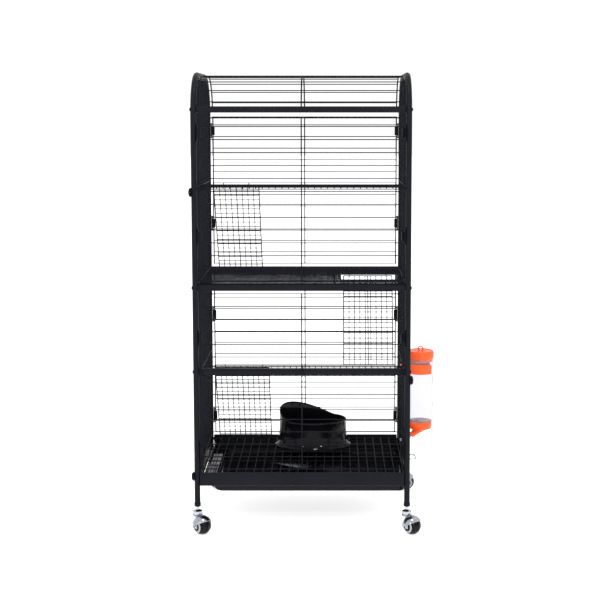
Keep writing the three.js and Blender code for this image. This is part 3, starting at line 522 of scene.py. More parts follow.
class CAGE_OT_side_frames(bpy.types.Operator):
    """Bends the two side tubes and adds their foot sleeves and bolt heads"""

    bl_idname = "cage.side_frames"
    bl_label = "Side frames"

    def execute(self, context):
        sizes = context.scene.cage_sizes
        radius = sizes.tube / 2
        for side, sign in SIDES.items():
            node = f"side_frame_{side}"
            low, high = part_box(node)
            x = middle(low.x, high.x)
            front, rear = low.y + radius, high.y - radius
            top = high.z - radius
            line = [(x, front, low.z), (x, front, top), (x, rear, top), (x, rear, low.z)]
            parts = [bent_bar(line, sizes.tube_bend, radius, 32, 16)]
            for y in (front, rear):
                parts.append(self.foot_sleeve(Vector((x, y, low.z)), radius))
                for z in rail_levels():
                    place = (x + sign * radius * 0.97, y, z)
                    parts.append(bolt_head(place, X_AXIS * sign))
            dress(join(parts), f"{node}_tube", "frame", "frame_paint",
                  finishes(context)["black_paint"], node)
        return {"FINISHED"}

    def foot_sleeve(self, place, radius):
        """The collar that closes a leg round its caster's stem."""
        outer = radius + 0.0011
        profile = [(0, 0), (outer - 0.0008, 0), (outer, 0.0008), (outer, 0.0095), (radius, 0.0108),
                   (0, 0.0108)]
        return turned(profile, place, Z_AXIS, 32)


class CAGE_OT_rails(bpy.types.Operator):
    """Makes the cross rails as rounded square tubes with end plates"""

    bl_idname = "cage.rails"
    bl_label = "Rails"

    def execute(self, context):
        for node in ("top_rail_front", "top_rail_rear", "middle_rail_front", "middle_rail_rear",
                     "lower_shelf_rail"):
            low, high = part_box(node)
            inset = Vector((0.0012, 0.0, 0.0))
            plate = 0.0022
            proud_y, proud_z = 0.0004, 0.0008
            parts = [block(low + inset, high - inset, 0.0022, 4)]
            for x, inwards in ((low.x, 1), (high.x, -1)):
                near, far = sorted((x, x + inwards * plate))
                parts.append(block((near, low.y - proud_y, low.z - proud_z),
                                   (far, high.y + proud_y, high.z + proud_z), 0.0006, 2))
            dress(join(parts), f"{node}_tube", "frame", "frame_paint",
                  finishes(context)["black_paint"], node)
        return {"FINISHED"}


# ---------------------------------------------------------------- wire walls


class CAGE_OT_doors_and_backs(bpy.types.Operator):
    """Welds the level wires of both doors and both back panels to their uprights"""

    bl_idname = "cage.doors_and_backs"
    bl_label = "Doors and backs"

    def execute(self, context):
        panels = {"front_door_upper": "upper_door", "front_door_lower": "lower_door",
                  "back_panel_upper": "frame", "back_panel_lower": "frame"}
        for node, body in panels.items():
            piece = self.panel(context.scene.cage_sizes, *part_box(node))
            dress(piece, f"{node}_wires", body, "wire", finishes(context)["wire_coat"], node)
        return {"FINISHED"}

    def panel(self, sizes, low, high):
        """Two side wires and a middle one, with level wires welded to their inner sides."""
        edge = sizes.edge_wire / 2
        thin = sizes.wire / 2
        y = middle(low.y, high.y)
        left, right = low.x + edge, high.x - edge
        weld = 0.0009
        inwards = -weld if y > 0 else weld
        parts = [rod((x, y, low.z), (x, y, high.z), edge, 14) for x in (left, right)]
        x = middle(left, right)
        parts.append(rod((x, y - inwards, low.z), (x, y - inwards, high.z), edge * 0.88, 14))
        first, last = low.z + edge, high.z - edge
        count = int((last - first + TINY) / sizes.door_pitch) + 1
        wire = rod((left, y + inwards, first), (right, y + inwards, first), thin, 10)
        parts.append(repeat(wire, count, (0, 0, sizes.door_pitch)))
        leftover = last - first - (count - 1) * sizes.door_pitch
        if leftover > sizes.wire:
            parts.append(rod((left, y, last), (right, y, last), thin * 1.35, 10))
        return join(parts)


class CAGE_OT_roof(bpy.types.Operator):
    """Lays the roof's wires over its three arched ribs"""

    bl_idname = "cage.roof"
    bl_label = "Roof"

    def execute(self, context):
        sizes = context.scene.cage_sizes
        low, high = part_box("roof_panel")
        edge = sizes.edge_wire / 2
        crown = high.z - edge
        tube_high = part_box("side_frame_left")[1]
        bend_z = tube_high.z - sizes.tube / 2 - sizes.tube_bend
        radius = crown - bend_z
        bend_y = tube_high.y - sizes.tube / 2 - sizes.tube_bend
        start = math.asin((low.z - bend_z) / radius)
        left, right = low.x + edge, high.x - edge
        parts = [self.rib(x, radius, start, bend_y, bend_z, edge)
                 for x in (left, middle(left, right), right)]
        arc = radius * (math.pi / 2 - start)
        length = 2 * (arc + bend_y)
        count = int(length / sizes.door_pitch)
        margin = (length - count * sizes.door_pitch) / 2
        for i in range(count + 1):
            at = margin + i * sizes.door_pitch
            y, z = self.on_arch(at, arc, length, radius, start, bend_y, bend_z)
            parts.append(rod((left, y, z), (right, y, z), sizes.wire / 2, 10))
        dress(join(parts), "roof_panel_wires", "frame", "wire", finishes(context)["wire_coat"],
              "roof_panel")
        return {"FINISHED"}

    def rib(self, x, radius, start, bend_y, bend_z, edge):
        """One arched rib: from its foot on the bend, over the top and down again."""
        foot = Vector((x, -bend_y - radius * math.cos(start), bend_z + radius * math.sin(start)))
        rise = Vector((0, math.sin(start), math.cos(start)))
        corner = foot + rise * radius * math.tan((math.pi / 2 - start) / 2)
        mirror = Matrix.Diagonal((1, -1, 1))
        return bent_bar([foot, corner, mirror @ corner, mirror @ foot], radius, edge, 12, 12)

    def on_arch(self, at, arc, length, radius, start, bend_y, bend_z):
        """Y and Z of the place that lies at this length along a rib."""
        if at > length / 2:
            y, z = self.on_arch(length - at, arc, length, radius, start, bend_y, bend_z)
            return -y, z
        if at >= arc:
            return -bend_y + at - arc, bend_z + radius
        angle = start + at / radius
        return -bend_y - radius * math.cos(angle), bend_z + radius * math.sin(angle)


class CAGE_OT_side_walls(bpy.types.Operator):
    """Fills each side frame with upright wires inside an arched rod"""

    bl_idname = "cage.side_walls"
    bl_label = "Side walls"

    def execute(self, context):
        sizes = context.scene.cage_sizes
        tube_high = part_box("side_frame_left")[1]
        bend_y = tube_high.y - sizes.tube / 2 - sizes.tube_bend
        bend_z = tube_high.z - sizes.tube / 2 - sizes.tube_bend
        edge = sizes.edge_wire / 2
        for side in SIDES:
            node = f"side_wall_{side}"
            low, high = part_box(node)
            x = middle(low.x, high.x)
            reach = high.y - edge
            bend = reach - bend_y
            crown = bend_z + bend
            line = [(x, -reach, low.z), (x, -reach, crown), (x, reach, crown), (x, reach, low.z)]
            parts = [bent_bar(line, bend, edge * 0.95, 12, 10)]
            bottom = low.z + edge * 1.15
            parts.append(rod((x, low.y, bottom), (x, high.y, bottom), edge * 1.15, 14))
            step = 2 * reach / sizes.wall_spaces
            for i in range(1, sizes.wall_spaces):
                y = -reach + i * step
                beyond = max(abs(y) - bend_y, 0)
                top = bend_z + math.sqrt(bend ** 2 - beyond ** 2)
                parts.append(rod((x, y, bottom), (x, y, top), sizes.wire / 2, 10))
            weld = 0.0013
            inner = -weld if x > cage_middle() else weld
            for shelf in SHELVES:
                z = self.carrier(shelf)
                parts.append(rod((x + inner, -reach, z), (x + inner, reach, z),
                                 CARRIER_RADIUS, 10))
            dress(join(parts), f"{node}_wires", "frame", "wire", finishes(context)["wire_coat"],
                  node)
        return {"FINISHED"}

    def carrier(self, shelf):
        """Height of the cross wire under a platform's tabs."""
        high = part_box(shelf)[1]
        return high.z - TAB_THICKNESS - TAB_SLACK - CARRIER_RADIUS


class CAGE_OT_clips(bpy.types.Operator):
    """Moulds the clips that hold the doors and panels to the tubes"""

    bl_idname = "cage.clips"
    bl_label = "Clips"

    def execute(self, context):
        plastic = finishes(context)["black_plastic"]
        for level in LEVELS:
            for node, hinge in ((f"hinge_clip_{level}", True), (f"catch_clip_{level}", False),
                                (f"rear_clip_left_{level}", False),
                                (f"rear_clip_right_{level}", False)):
                low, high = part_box(node)
                dress(self.clip(low, high, hinge), f"{node}_moulding", "frame", "black_plastic",
                      plastic, node)
        return {"FINISHED"}

    def clip(self, low, high, hinge):
        """A base plate with ribs, and a knuckle round the wire or an open jaw behind it."""
        right = middle(low.x, high.x) > cage_middle()
        front = middle(low.y, high.y) < 0
        out_x = 1 if right else -1
        out_y = -1 if front else 1
        wall, plate, jaw = 0.0026, 0.0034, 0.0112
        wire_in, wire_back = 0.0062, 0.005
        rib_height, rib_half = 0.0195, 0.0011
        post = high.x if right else low.x
        wire_x = post - out_x * wire_in
        wire_y = (low.y if front else high.y) - out_y * wire_back
        z = middle(low.z, high.z)

        def span(x0, x1, y0, y1, z0, z1, bevel=0.0006):
            """A block measured in from the post, out from the wire and up from the middle."""
            xs = sorted((post - out_x * x0, post - out_x * x1))
            ys = sorted((wire_y + out_y * y0, wire_y + out_y * y1))
            return block((xs[0], ys[0], z + z0), (xs[1], ys[1], z + z1), bevel, 2)

        half = (high.z - low.z) / 2
        parts = [span(0, plate, -0.007, 0.003, -half, half, 0.0010)]
        for height in (-rib_height, rib_height):
            parts.append(span(0.0002, plate + 0.0012, -0.0066, 0.0026,
                              height - rib_half, height + rib_half))
        knuckle = 0.0135
        if hinge:
            ring = [(0.0028, -knuckle), (0.0046, -knuckle), (0.005, -knuckle + 0.0004),
                    (0.005, knuckle - 0.0004), (0.0046, knuckle), (0.0028, knuckle)]
            parts.append(turned(ring, (wire_x, wire_y, z), Z_AXIS, 24, closed=True))
            parts.append(span(plate - 0.0006, plate + 0.0006, -0.0045, 0.0045,
                              -knuckle, knuckle, 0.0003))
        else:
            parts.append(span(plate - 0.0004, jaw, -0.005, -0.0026, -knuckle, knuckle))
            parts.append(span(jaw - wall, jaw, -0.005, 0.005, -knuckle, knuckle))
            parts.append(span(plate - 0.0004, plate + 0.0004, -0.005, 0.005,
                              -knuckle, knuckle, 0.0002))
        return join(parts)


# ---------------------------------------------------------------- platforms and ramps


def wire_mesh(low, high, top, pitch, diameter, skip=None):
    """Two crossing layers of wires between two corners, the upper layer's tops at top."""
    radius = diameter / 2
    welded = 1.45
    parts = []
    for along in (0, 1):
        across = 1 - along
        length = high[across] - low[across]
        count = max(1, round(length / pitch))
        step = length / count
        z = top - radius if along == 0 else top - diameter * welded
        for i in range(1, count):
            place = low[across] + i * step
            for start, end in runs(low[along], high[along], place, across, skip):
                a = Vector((0, 0, z))
                b = Vector((0, 0, z))
                a[along], b[along] = start, end
                a[across] = b[across] = place
                parts.append(rod(a, b, radius, 7, 0))
    return parts


def runs(start, end, place, across, skip):
    """The stretches of a wire that stay clear of an opening."""
    if skip is None:
        return [(start, end)]
    low, high = skip
    along = 1 - across
    if not low[across] < place < high[across]:
        return [(start, end)]
    return [(a, b) for a, b in ((start, low[along]), (high[along], end)) if b - a > TINY]


def rim(low, high, z, radius, sides=10):
    """Four round bars round a rectangle."""
    corners = [(low[0], low[1], z), (high[0], low[1], z), (high[0], high[1], z),
               (low[0], high[1], z)]
    return [rod(a, b, radius, sides) for a, b in zip(corners, corners[1:] + corners[:1])]


class CAGE_OT_platforms(bpy.types.Operator):
    """Weaves the two shelves and the middle floor from mesh, rims and tabs"""

    bl_idname = "cage.platforms"
    bl_label = "Platforms"

    def execute(self, context):
        for node in SHELVES:
            self.platform(context, node)
        return {"FINISHED"}

    def platform(self, context, node):
        """Mesh inside a rim, with the ramp's opening or the upper shelf's front fence."""
        sizes = context.scene.cage_sizes
        low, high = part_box(node)
        tab, edge = PLATFORM_TAB, PLATFORM_EDGE
        x0, x1 = low.x + tab + edge, high.x - tab - edge
        y0, y1 = low.y + edge, high.y - edge
        z = high.z - edge
        skip = self.opening() if node == "middle_floor" else None
        parts = wire_mesh((x0, y0), (x1, y1), high.z, sizes.mesh_pitch, sizes.mesh_wire, skip)
        parts += rim((x0, y0), (x1, y1), z, edge)
        if skip:
            parts += rim(*skip, z, edge)
            for x in (skip[0].x - sizes.mesh_pitch, skip[1].x + sizes.mesh_pitch):
                parts.append(rod((x, y0, z - edge), (x, y1, z - edge), edge * 0.9, 8))
        if node == "upper_shelf":
            bottom = low.z + edge
            parts.append(rod((x0, y0, bottom), (x1, y0, bottom), edge, 10))
            count = round((x1 - x0) / sizes.mesh_pitch)
            step = (x1 - x0) / count
            tooth = rod((x0, y0, bottom), (x0, y0, z), sizes.mesh_wire / 2, 7, 0)
            parts.append(repeat(tooth, count + 1, (step, 0, 0)))
        parts += self.tabs(sizes, node, low, high)
        dress(join(parts), f"{node}_mesh", "frame", "wire", finishes(context)["wire_coat"], node)

    def opening(self):
        """The way through the middle floor, over the middle ramp."""
        ramp_low, ramp_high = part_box("ramp_middle")
        room = 0.007
        front, hooks = -0.112, 0.0052
        low = Vector((ramp_low.x - room, front))
        high = Vector((ramp_high.x + room, ramp_high.y - hooks))
        return low, high

    def tabs(self, sizes, node, low, high):
        """Flat tongues over the side walls' cross wires, each in the middle of a space."""
        spaces = (2, 13) if node == "middle_floor" else (1, 4)
        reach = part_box("side_wall_left")[1].y - 0.002
        step = 2 * reach / sizes.wall_spaces
        long, half = 0.008, 0.0045
        bottom, top = high.z - TAB_THICKNESS, high.z - 0.0004
        parts = []
        for space in spaces:
            y = -reach + (space + 0.5) * step
            for x0, x1 in ((low.x, low.x + long), (high.x - long, high.x)):
                parts.append(block((x0, y - half, bottom), (x1, y + half, top), 0.0007, 2))
        return parts


def between_wires(sizes, platform, x):
    """The middle between the two wires of the platform that x lies between."""
    low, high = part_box(platform)
    start, end = low.x + PLATFORM_TAB + PLATFORM_EDGE, high.x - PLATFORM_TAB - PLATFORM_EDGE
    step = (end - start) / round((end - start) / sizes.mesh_pitch)
    return start + (math.floor((x - start) / step) + 0.5) * step


class CAGE_OT_ramps(bpy.types.Operator):
    """Weaves the three ramps and bends the hooks that hold them"""

    bl_idname = "cage.ramps"
    bl_label = "Ramps"

    def execute(self, context):
        for node, body, platform in RAMPS:
            self.ramp(context, node, body, platform)
        return {"FINISHED"}

    def ramp(self, context, node, body, platform):
        """Modelled level along +Y from its pivot, then leant until its foot is at its place."""
        sizes = context.scene.cage_sizes
        low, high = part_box(node)
        joint = next(j for j in frame["joints"] if j["child"] == body)
        pivot = Vector(joint["pos_m"])
        width = high.x - low.x
        away = 1 if high.y - pivot.y > pivot.y - low.y else -1
        half = 0.0013
        reach = (high.y if away > 0 else low.y) - pivot.y
        drop = pivot.z - low.z
        lean = math.atan2(drop, abs(reach))
        length = math.hypot(drop, reach) - half
        hook, hook_inset = 0.0042, 0.0255
        edge = PLATFORM_EDGE
        corners = (edge, hook + edge), (width - edge, length - edge)
        parts = wire_mesh(*corners, sizes.mesh_wire * 0.95, sizes.ramp_pitch, sizes.mesh_wire)
        parts += rim(*corners, 0, edge)
        for x in (hook_inset, width - hook_inset):
            place = between_wires(sizes, platform, low.x + x) - low.x
            parts.append(self.hook(place, hook, lean))
        x = width / 2
        parts.append(rod((x, corners[0][1], -0.0012), (x, corners[1][1], -0.0012), edge * 0.85, 8))
        piece = join(parts)
        piece.matrix_world = (Matrix.Translation((low.x, pivot.y, pivot.z))
                              @ Matrix.Diagonal((1, away, 1, 1)) @ Matrix.Rotation(-lean, 4, "X"))
        settle(piece)
        if away < 0:
            face_outwards(piece)
        dress(piece, f"{node}_mesh", body, "wire", finishes(context)["wire_coat"], node)

    def hook(self, x, radius, lean):
        """A round wire from the ramp over the platform's edge and down through its mesh."""
        wire = 0.00105
        sweep = math.radians(185) + lean
        steps = 12
        points = [(x, radius + 0.004, 0)]
        parts = []
        for i in range(steps + 1):
            angle = sweep * i / steps
            points.append((x, radius * math.cos(angle), radius * math.sin(angle)))
        for a, b in zip(points, points[1:]):
            parts.append(rod(a, b, wire, 8))
        return join(parts)


# ---------------------------------------------------------------- base


def folded_sheet(start, length_axis, length, folds, bend):
    """Sheet metal: a strip along length_axis, folded by each (direction, width) in turn."""
    piece = lone_point(start)
    move = {"value": Vector(length_axis) * length}
    bpy.ops.mesh.extrude_vertices_move(TRANSFORM_OT_translate=move)
    bpy.ops.mesh.select_all(action="SELECT")
    for direction, width in folds:
        move = {"value": Vector(direction) * width}
        bpy.ops.mesh.extrude_region_move(TRANSFORM_OT_translate=move)
    bpy.ops.object.mode_set(mode="OBJECT")
    inner = Vector(start)
    for direction, width in folds[:-1]:
        inner = inner + Vector(direction) * width
        line = Vector(length_axis)
        spot = inner.copy()
        pick(piece, "EDGE", lambda a, b: ((a - spot).cross(line).length < TINY
                                          and (b - spot).cross(line).length < TINY))
        bevel_picked(bend, 4)
    return piece


class CAGE_OT_aprons(bpy.types.Operator):
    """Folds the base's three aprons with their runners"""

    bl_idname = "cage.aprons"
    bl_label = "Aprons"

    def execute(self, context):
        sheet = 0.0025
        for node, inwards in (("base_apron_front", Y_AXIS), ("base_apron_rear", -Y_AXIS),
                              ("base_apron_left", X_AXIS)):
            low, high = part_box(node)
            along = Y_AXIS if node.endswith("left") else X_AXIS
            half = sheet / 2
            outer = Vector((low.x, low.y, high.z))
            if inwards.y < 0:
                outer.y = high.y
            length = (high - low).dot(along)
            lip = abs((high - low).dot(inwards)) - half
            start = outer + inwards * half - Z_AXIS * half
            folds = [(-Z_AXIS, high.z - low.z - sheet), (inwards, lip - half)]
            parts = [folded_sheet(start, along, length, folds, 0.003)]
            apply_modifier(parts[0], "SOLIDIFY", thickness=sheet, offset=0.0)
            if not node.endswith("left"):
                parts.append(self.ledge(high, outer, along, inwards, length, sheet))
            piece = join(parts)
            face_outwards(piece)
            apply_modifier(piece, "BEVEL", width=0.0005, segments=2, limit_method="ANGLE")
            dress(piece, f"{node}_sheet", "frame", "frame_paint",
                  finishes(context)["black_paint"], node)
        return {"FINISHED"}

    def ledge(self, high, outer, along, inwards, length, sheet):
        """The upper runner that carries the floor grate, welded to the apron's inner face."""
        drop, width = 0.0115, 0.0185
        top = high.z - drop
        start = outer + inwards * sheet
        start.z = top - sheet
        end = start + along * length + inwards * width
        near = Vector(min(a, b) for a, b in zip(start, end))
        far = Vector(max(a, b) for a, b in zip(start, end))
        far.z = top
        return block(near, far, 0.0006, 2)


class CAGE_OT_grate(bpy.types.Operator):
    """Lays the floor grate's wires over its rods"""

    bl_idname = "cage.grate"
    bl_label = "Floor grate"

    def execute(self, context):
        sizes = context.scene.cage_sizes
        low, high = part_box("floor_grate")
        rod_radius, wire_radius = 0.002, 0.0012
        z = low.z + rod_radius
        reach = high.y - rod_radius
        parts = [rod((low.x, y, z), (high.x, y, z), rod_radius, 12)
                 for y in (-reach, -reach / 3, reach / 3, reach)]
        edge = low.x + wire_radius + 0.001
        length = high.x - low.x - 2 * (wire_radius + 0.001)
        count = round(length / sizes.grate_pitch)
        top = high.z - wire_radius
        wire = rod((edge, -reach - 0.0005, top), (edge, reach + 0.0005, top), wire_radius, 10)
        parts.append(repeat(wire, count + 1, (length / count, 0, 0)))
        dress(join(parts), "floor_grate_wires", "frame", "wire", finishes(context)["wire_coat"],
              "floor_grate")
        return {"FINISHED"}


class CAGE_OT_tray(bpy.types.Operator):
    """Draws the deep tray from a sheet of gloss plastic, and bends its wire handle"""

    bl_idname = "cage.tray"
    bl_label = "Tray"

    def execute(self, context):
        low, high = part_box("tray")
        ledge = low.z + 0.0308
        rim_top = low.z + 0.0505
        wall = 0.003
        deck, deck_left, deck_right = 0.016, 0.026, 0.006
        deep_low = Vector((low.x + deck_left, low.y + deck, low.z))
        deep_high = Vector((high.x - deck_right, high.y - deck, low.z))
        body = self.drawn_sheet(low, high, deep_low, deep_high, ledge, rim_top, wall)
        stop = block((high.x - wall, low.y + 0.014, rim_top - 0.002),
                     (high.x, high.y - 0.014, high.z), 0.0012, 3)
        dress(join([body, stop]), "tray_moulding", "tray_drawer", "gloss_black",
              finishes(context)["gloss_black"], "tray")
        self.handle(context)
        return {"FINISHED"}

    def drawn_sheet(self, low, high, deep_low, deep_high, ledge, rim_top, wall):
        """One skin of (x, x, y, y, z) levels: from the underside over the rim and down inside."""
        turn_left, turn_right = 0.013, 0.005
        steps = 6
        levels = []
        for i in range(steps + 1):
            angle = math.pi / 2 * i / steps
            drawn, rise = 1 - math.sin(angle), 1 - math.cos(angle)
            levels.append((deep_low.x + turn_left * drawn, deep_high.x - turn_right * drawn,
                           deep_low.y + turn_right * drawn, deep_high.y - turn_right * drawn,
                           low.z + turn_left * rise))
        outer = (low.x, high.x, low.y, high.y)
        inner = (low.x + wall, high.x - wall, low.y + wall, high.y - wall)
        well = (deep_low.x + wall, deep_high.x - wall, deep_low.y + wall, deep_high.y - wall)
        floor = (well[0] + turn_left / 2, well[1] - wall, well[2] + wall, well[3] - wall)
        levels.append((deep_low.x, deep_high.x, deep_low.y, deep_high.y, ledge - wall))
        levels += [(*outer, ledge - wall), (*outer, rim_top), (*inner, rim_top), (*inner, ledge),
                   (*well, ledge), (*well, low.z + 0.018), (*floor, low.z + 0.011)]
        piece = self.rounded_plate(levels[0], 0.016)
        for before, after in zip(levels, levels[1:]):
            move = (middle(after[0], after[1]) - middle(before[0], before[1]),
                    middle(after[2], after[3]) - middle(before[2], before[3]),
                    after[4] - before[4])
            bpy.ops.mesh.extrude_region_move(TRANSFORM_OT_translate={"value": move})
            grow = ((after[1] - after[0]) / (before[1] - before[0]),
                    (after[3] - after[2]) / (before[3] - before[2]), 1)
            centre = (middle(after[0], after[1]), middle(after[2], after[3]), after[4])
            bpy.ops.transform.resize(value=grow, center_override=centre)
        bpy.ops.object.mode_set(mode="OBJECT")
        face_outwards(piece)
        return apply_modifier(piece, "BEVEL", width=0.0008, segments=2, limit_method="ANGLE")

    def rounded_plate(self, level, corner):
        """A flat face with round corners, selected in edit mode."""
        x0, x1, y0, y1, z = level
        deselect()
        bpy.ops.mesh.primitive_plane_add(size=1, location=(middle(x0, x1), middle(y0, y1), z))
        piece = bpy.context.object
        piece.scale = (x1 - x0, y1 - y0, 1)
        settle(piece)
        pick(piece, "VERT", lambda co: True)
        bpy.ops.mesh.bevel(offset=corner, offset_type="OFFSET", segments=6, affect="VERTICES")
        bpy.ops.mesh.select_mode(type="FACE")
        bpy.ops.mesh.select_all(action="SELECT")
        return piece

    def handle(self, context):
        """The wire pull on the tray's right end."""
        low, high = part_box("tray_handle")
        radius = 0.002
        x1 = high.x - radius
        y0, y1 = low.y + radius, high.y - radius
        z = middle(low.z, high.z)
        line = [(low.x, y0, z), (x1, y0, z), (x1, y1, z), (low.x, y1, z)]
        parts = [bent_bar(line, 0.008, radius, 16, 8)]
        for y in (y0, y1):
            profile = [(0, 0), (0.0042, 0), (0.0042, 0.0012), (0.003, 0.0022), (0, 0.0022)]
            parts.append(turned(profile, (low.x, y, z), X_AXIS, 18))
        dress(join(parts), "tray_handle_wire", "tray_drawer", "bright_steel",
              finishes(context)["bright_steel"], "tray_handle")


# ---------------------------------------------------------------- dish


class CAGE_OT_dish(bpy.types.Operator):
    """Turns the food dish, then draws it oval and lifts the back of its rim"""

    bl_idname = "cage.dish"
    bl_label = "Food dish"

    def execute(self, context):
        sizes = context.scene.cage_sizes
        low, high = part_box("food_dish")
        half_x, half_y = (high.x - low.x) / 2, (high.y - low.y) / 2
        tall = high.z - low.z
        rim_z, foot_z = 0.080, 0.020
        flange = 0.0125
        body = half_x - flange
        profile = [(0, 0.0), (body + flange - 0.0015, 0.0), (body + flange, 0.0015),
                   (body + flange - 0.001, 0.0035), (body + 0.007, 0.006), (body + 0.0035, 0.011),
                   (body + 0.0015, foot_z), (body, 0.036), (body - 0.001, 0.055),
                   (body - 0.0015, rim_z - 0.006), (body - 0.0008, rim_z - 0.0025),
                   (body - 0.0016, rim_z - 0.0005), (body - 0.003, rim_z),
                   (body - 0.0045, rim_z - 0.001), (body - 0.0052, rim_z - 0.004),
                   (body - 0.0062, 0.050),
                   (body - 0.0085, 0.028), (body - 0.014, 0.018), (body - 0.026, 0.0135),
                   (body - 0.050, 0.0122), (0, 0.012)]
        piece = turned(profile, (0, 0, 0), Z_AXIS, sizes.dish_sides)
        facing = math.radians(140)
        lift = tall - rim_z
        squeeze = (half_y - flange) / body
        for vertex in piece.data.vertices:
            x, y, z = vertex.co
            around = math.atan2(y, x)
            radius = math.hypot(x, y)
            share = max(math.cos(around - facing), 0) ** 1.3
            rise = max(z - foot_z, 0) / (rim_z - foot_z)
            vertex.co.z = z + lift * share * rise
            beyond = max(radius - body, 0)
            core = radius - beyond
            vertex.co.x = math.cos(around) * (core + beyond)
            vertex.co.y = math.sin(around) * (core * squeeze + beyond)
        place = Vector((middle(low.x, high.x), middle(low.y, high.y), low.z))
        piece.matrix_world = Matrix.Translation(place)
        dress(piece, "food_dish_moulding", "dish", "gloss_black", finishes(context)["gloss_black"],
              "food_dish", smooth=50)
        return {"FINISHED"}


# ---------------------------------------------------------------- bottle


class CAGE_OT_bottle(bpy.types.Operator):
    """Models the bottle's body, lid, clip, base and nozzle"""

    bl_idname = "cage.bottle"
    bl_label = "Water bottle"

    def execute(self, context):
        looks = finishes(context)
        low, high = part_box("bottle_body")
        centre = (low + high) / 2
        radius = (high.x - low.x) / 2
        self.body(looks, low, high, centre, radius)
        self.lid(looks, centre)
        self.clip(looks, centre, radius)
        self.base(looks, centre)
        self.nozzle(looks)
        return {"FINISHED"}

    def body(self, looks, low, high, centre, radius):
        """A clear jar with a rounded foot and two moulded rings."""
        tall = high.z - low.z
        wall = 0.0016
        profile = [(0, 0), (radius - 0.006, 0), (radius - 0.0018, 0.0018), (radius, 0.006),
                   (radius, tall * 0.30), (radius - 0.0008, tall * 0.31), (radius, tall * 0.32),
                   (radius, tall * 0.70), (radius - 0.0008, tall * 0.71), (radius, tall * 0.72),
                   (radius, tall), (radius - wall, tall), (radius - wall, 0.006),
                   (radius - 0.006, wall + 0.0004), (0, wall)]
        piece = turned(profile, (centre.x, centre.y, low.z), Z_AXIS, 72)
        dress(piece, "bottle_body_jar", "bottle", "clear_plastic", looks["clear_plastic"],
              "bottle_body")

    def lid(self, looks, centre):
        """A ribbed push-in lid with a finger loop."""
        low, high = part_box("bottle_lid")
        radius = (high.x - low.x) / 2
        top = high.z - 0.0133
        skirt = low.z + 0.0083
        plug = radius - 0.003
        profile = [(0, low.z), (plug - 0.001, low.z), (plug, low.z + 0.001), (plug, skirt),
                   (radius - 0.0005, skirt), (radius, skirt + 0.0008), (radius, top - 0.004),
                   (radius - 0.001, top - 0.0012), (radius - 0.003, top),
                   (radius - 0.006, top - 0.0008),
                   (0, top - 0.0008)]
        parts = [turned(profile, (centre.x, centre.y, 0), Z_AXIS, 72)]
        grip = block((centre.x + radius - 0.0012, centre.y - 0.0008, skirt + 0.003),
                     (centre.x + radius + 0.0003, centre.y + 0.0008, top - 0.004), 0.0003, 1)
        grips = 36
        for i in range(grips):
            turn = Matrix.Rotation(math.tau * i / grips, 4, "Z")
            about = Matrix.Translation((centre.x, centre.y, 0))
            parts.append(duplicate(grip, about @ turn @ about.inverted()))
        parts.append(grip)
        loop = high.z - 0.0088
        loop_radius, loop_wire = 0.007, 0.0018
        ring = [(loop_radius + loop_wire * math.cos(a), loop_wire * math.sin(a))
                for a in (math.tau * i / 12 for i in range(12))]
        parts.append(turned(ring, (centre.x, centre.y, loop), Y_AXIS, 32, closed=True))
        dress(join(parts), "bottle_lid_moulding", "lid", "orange_plastic", looks["orange_plastic"],
              "bottle_lid")

    def clip(self, looks, centre, radius):
        """A spring ring open to the right, with a foot and two prongs on the side wall."""
        low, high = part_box("bottle_clip")
        inner, outer = radius + 0.0004, radius + 0.0029
        mouth = math.radians(45)
        deselect()
        bpy.ops.mesh.primitive_plane_add(size=1)
        ring = bpy.context.object
        ring.matrix_world = (Matrix.Translation((middle(inner, outer), 0, middle(low.z, high.z)))
                             @ Matrix.Rotation(math.pi / 2, 4, "X")
                             @ Matrix.Diagonal((outer - inner, high.z - low.z, 1, 1)))
        settle(ring)
        turn = Matrix.Rotation(mouth, 4, "Z")
        ring.matrix_world = turn
        settle(ring)
        bpy.ops.object.mode_set(mode="EDIT")
        bpy.ops.mesh.select_all(action="SELECT")
        bpy.ops.mesh.spin(steps=54, angle=math.tau - 2 * mouth, center=(0, 0, 0), axis=(0, 0, -1))
        bpy.ops.object.mode_set(mode="OBJECT")
        face_outwards(ring)
        apply_modifier(ring, "BEVEL", width=0.0009, segments=3, limit_method="ANGLE")
        ring.matrix_world = Matrix.Translation((centre.x, centre.y, 0))
        settle(ring)
        parts = [ring]
        foot_x = centre.x - inner - 0.0006
        wall_x = low.x + 0.009
        foot, prong, prong_half = 0.020, 0.008, 0.0025
        parts.append(block((wall_x, centre.y - foot, low.z + 0.002),
                           (foot_x, centre.y + foot, high.z - 0.002), 0.0014, 3))
        for z in (low.z + 0.007, high.z - 0.007):
            parts.append(block((low.x, centre.y - prong, z - prong_half),
                               (wall_x + 0.001, centre.y + prong, z + prong_half), 0.0008, 2))
        for sign in (-1, 1):
            angle = sign * mouth
            tip = Vector((math.cos(angle), math.sin(angle), 0)) * middle(inner, outer)
            lip = [(0, low.z + 0.001), (0.0022, low.z + 0.001), (0.0022, high.z - 0.001),
                   (0, high.z - 0.001)]
            parts.append(turned(lip, (centre.x + tip.x, centre.y + tip.y, 0), Z_AXIS, 16))
        dress(join(parts), "bottle_clip_moulding", "bottle", "orange_plastic",
              looks["orange_plastic"], "bottle_clip")

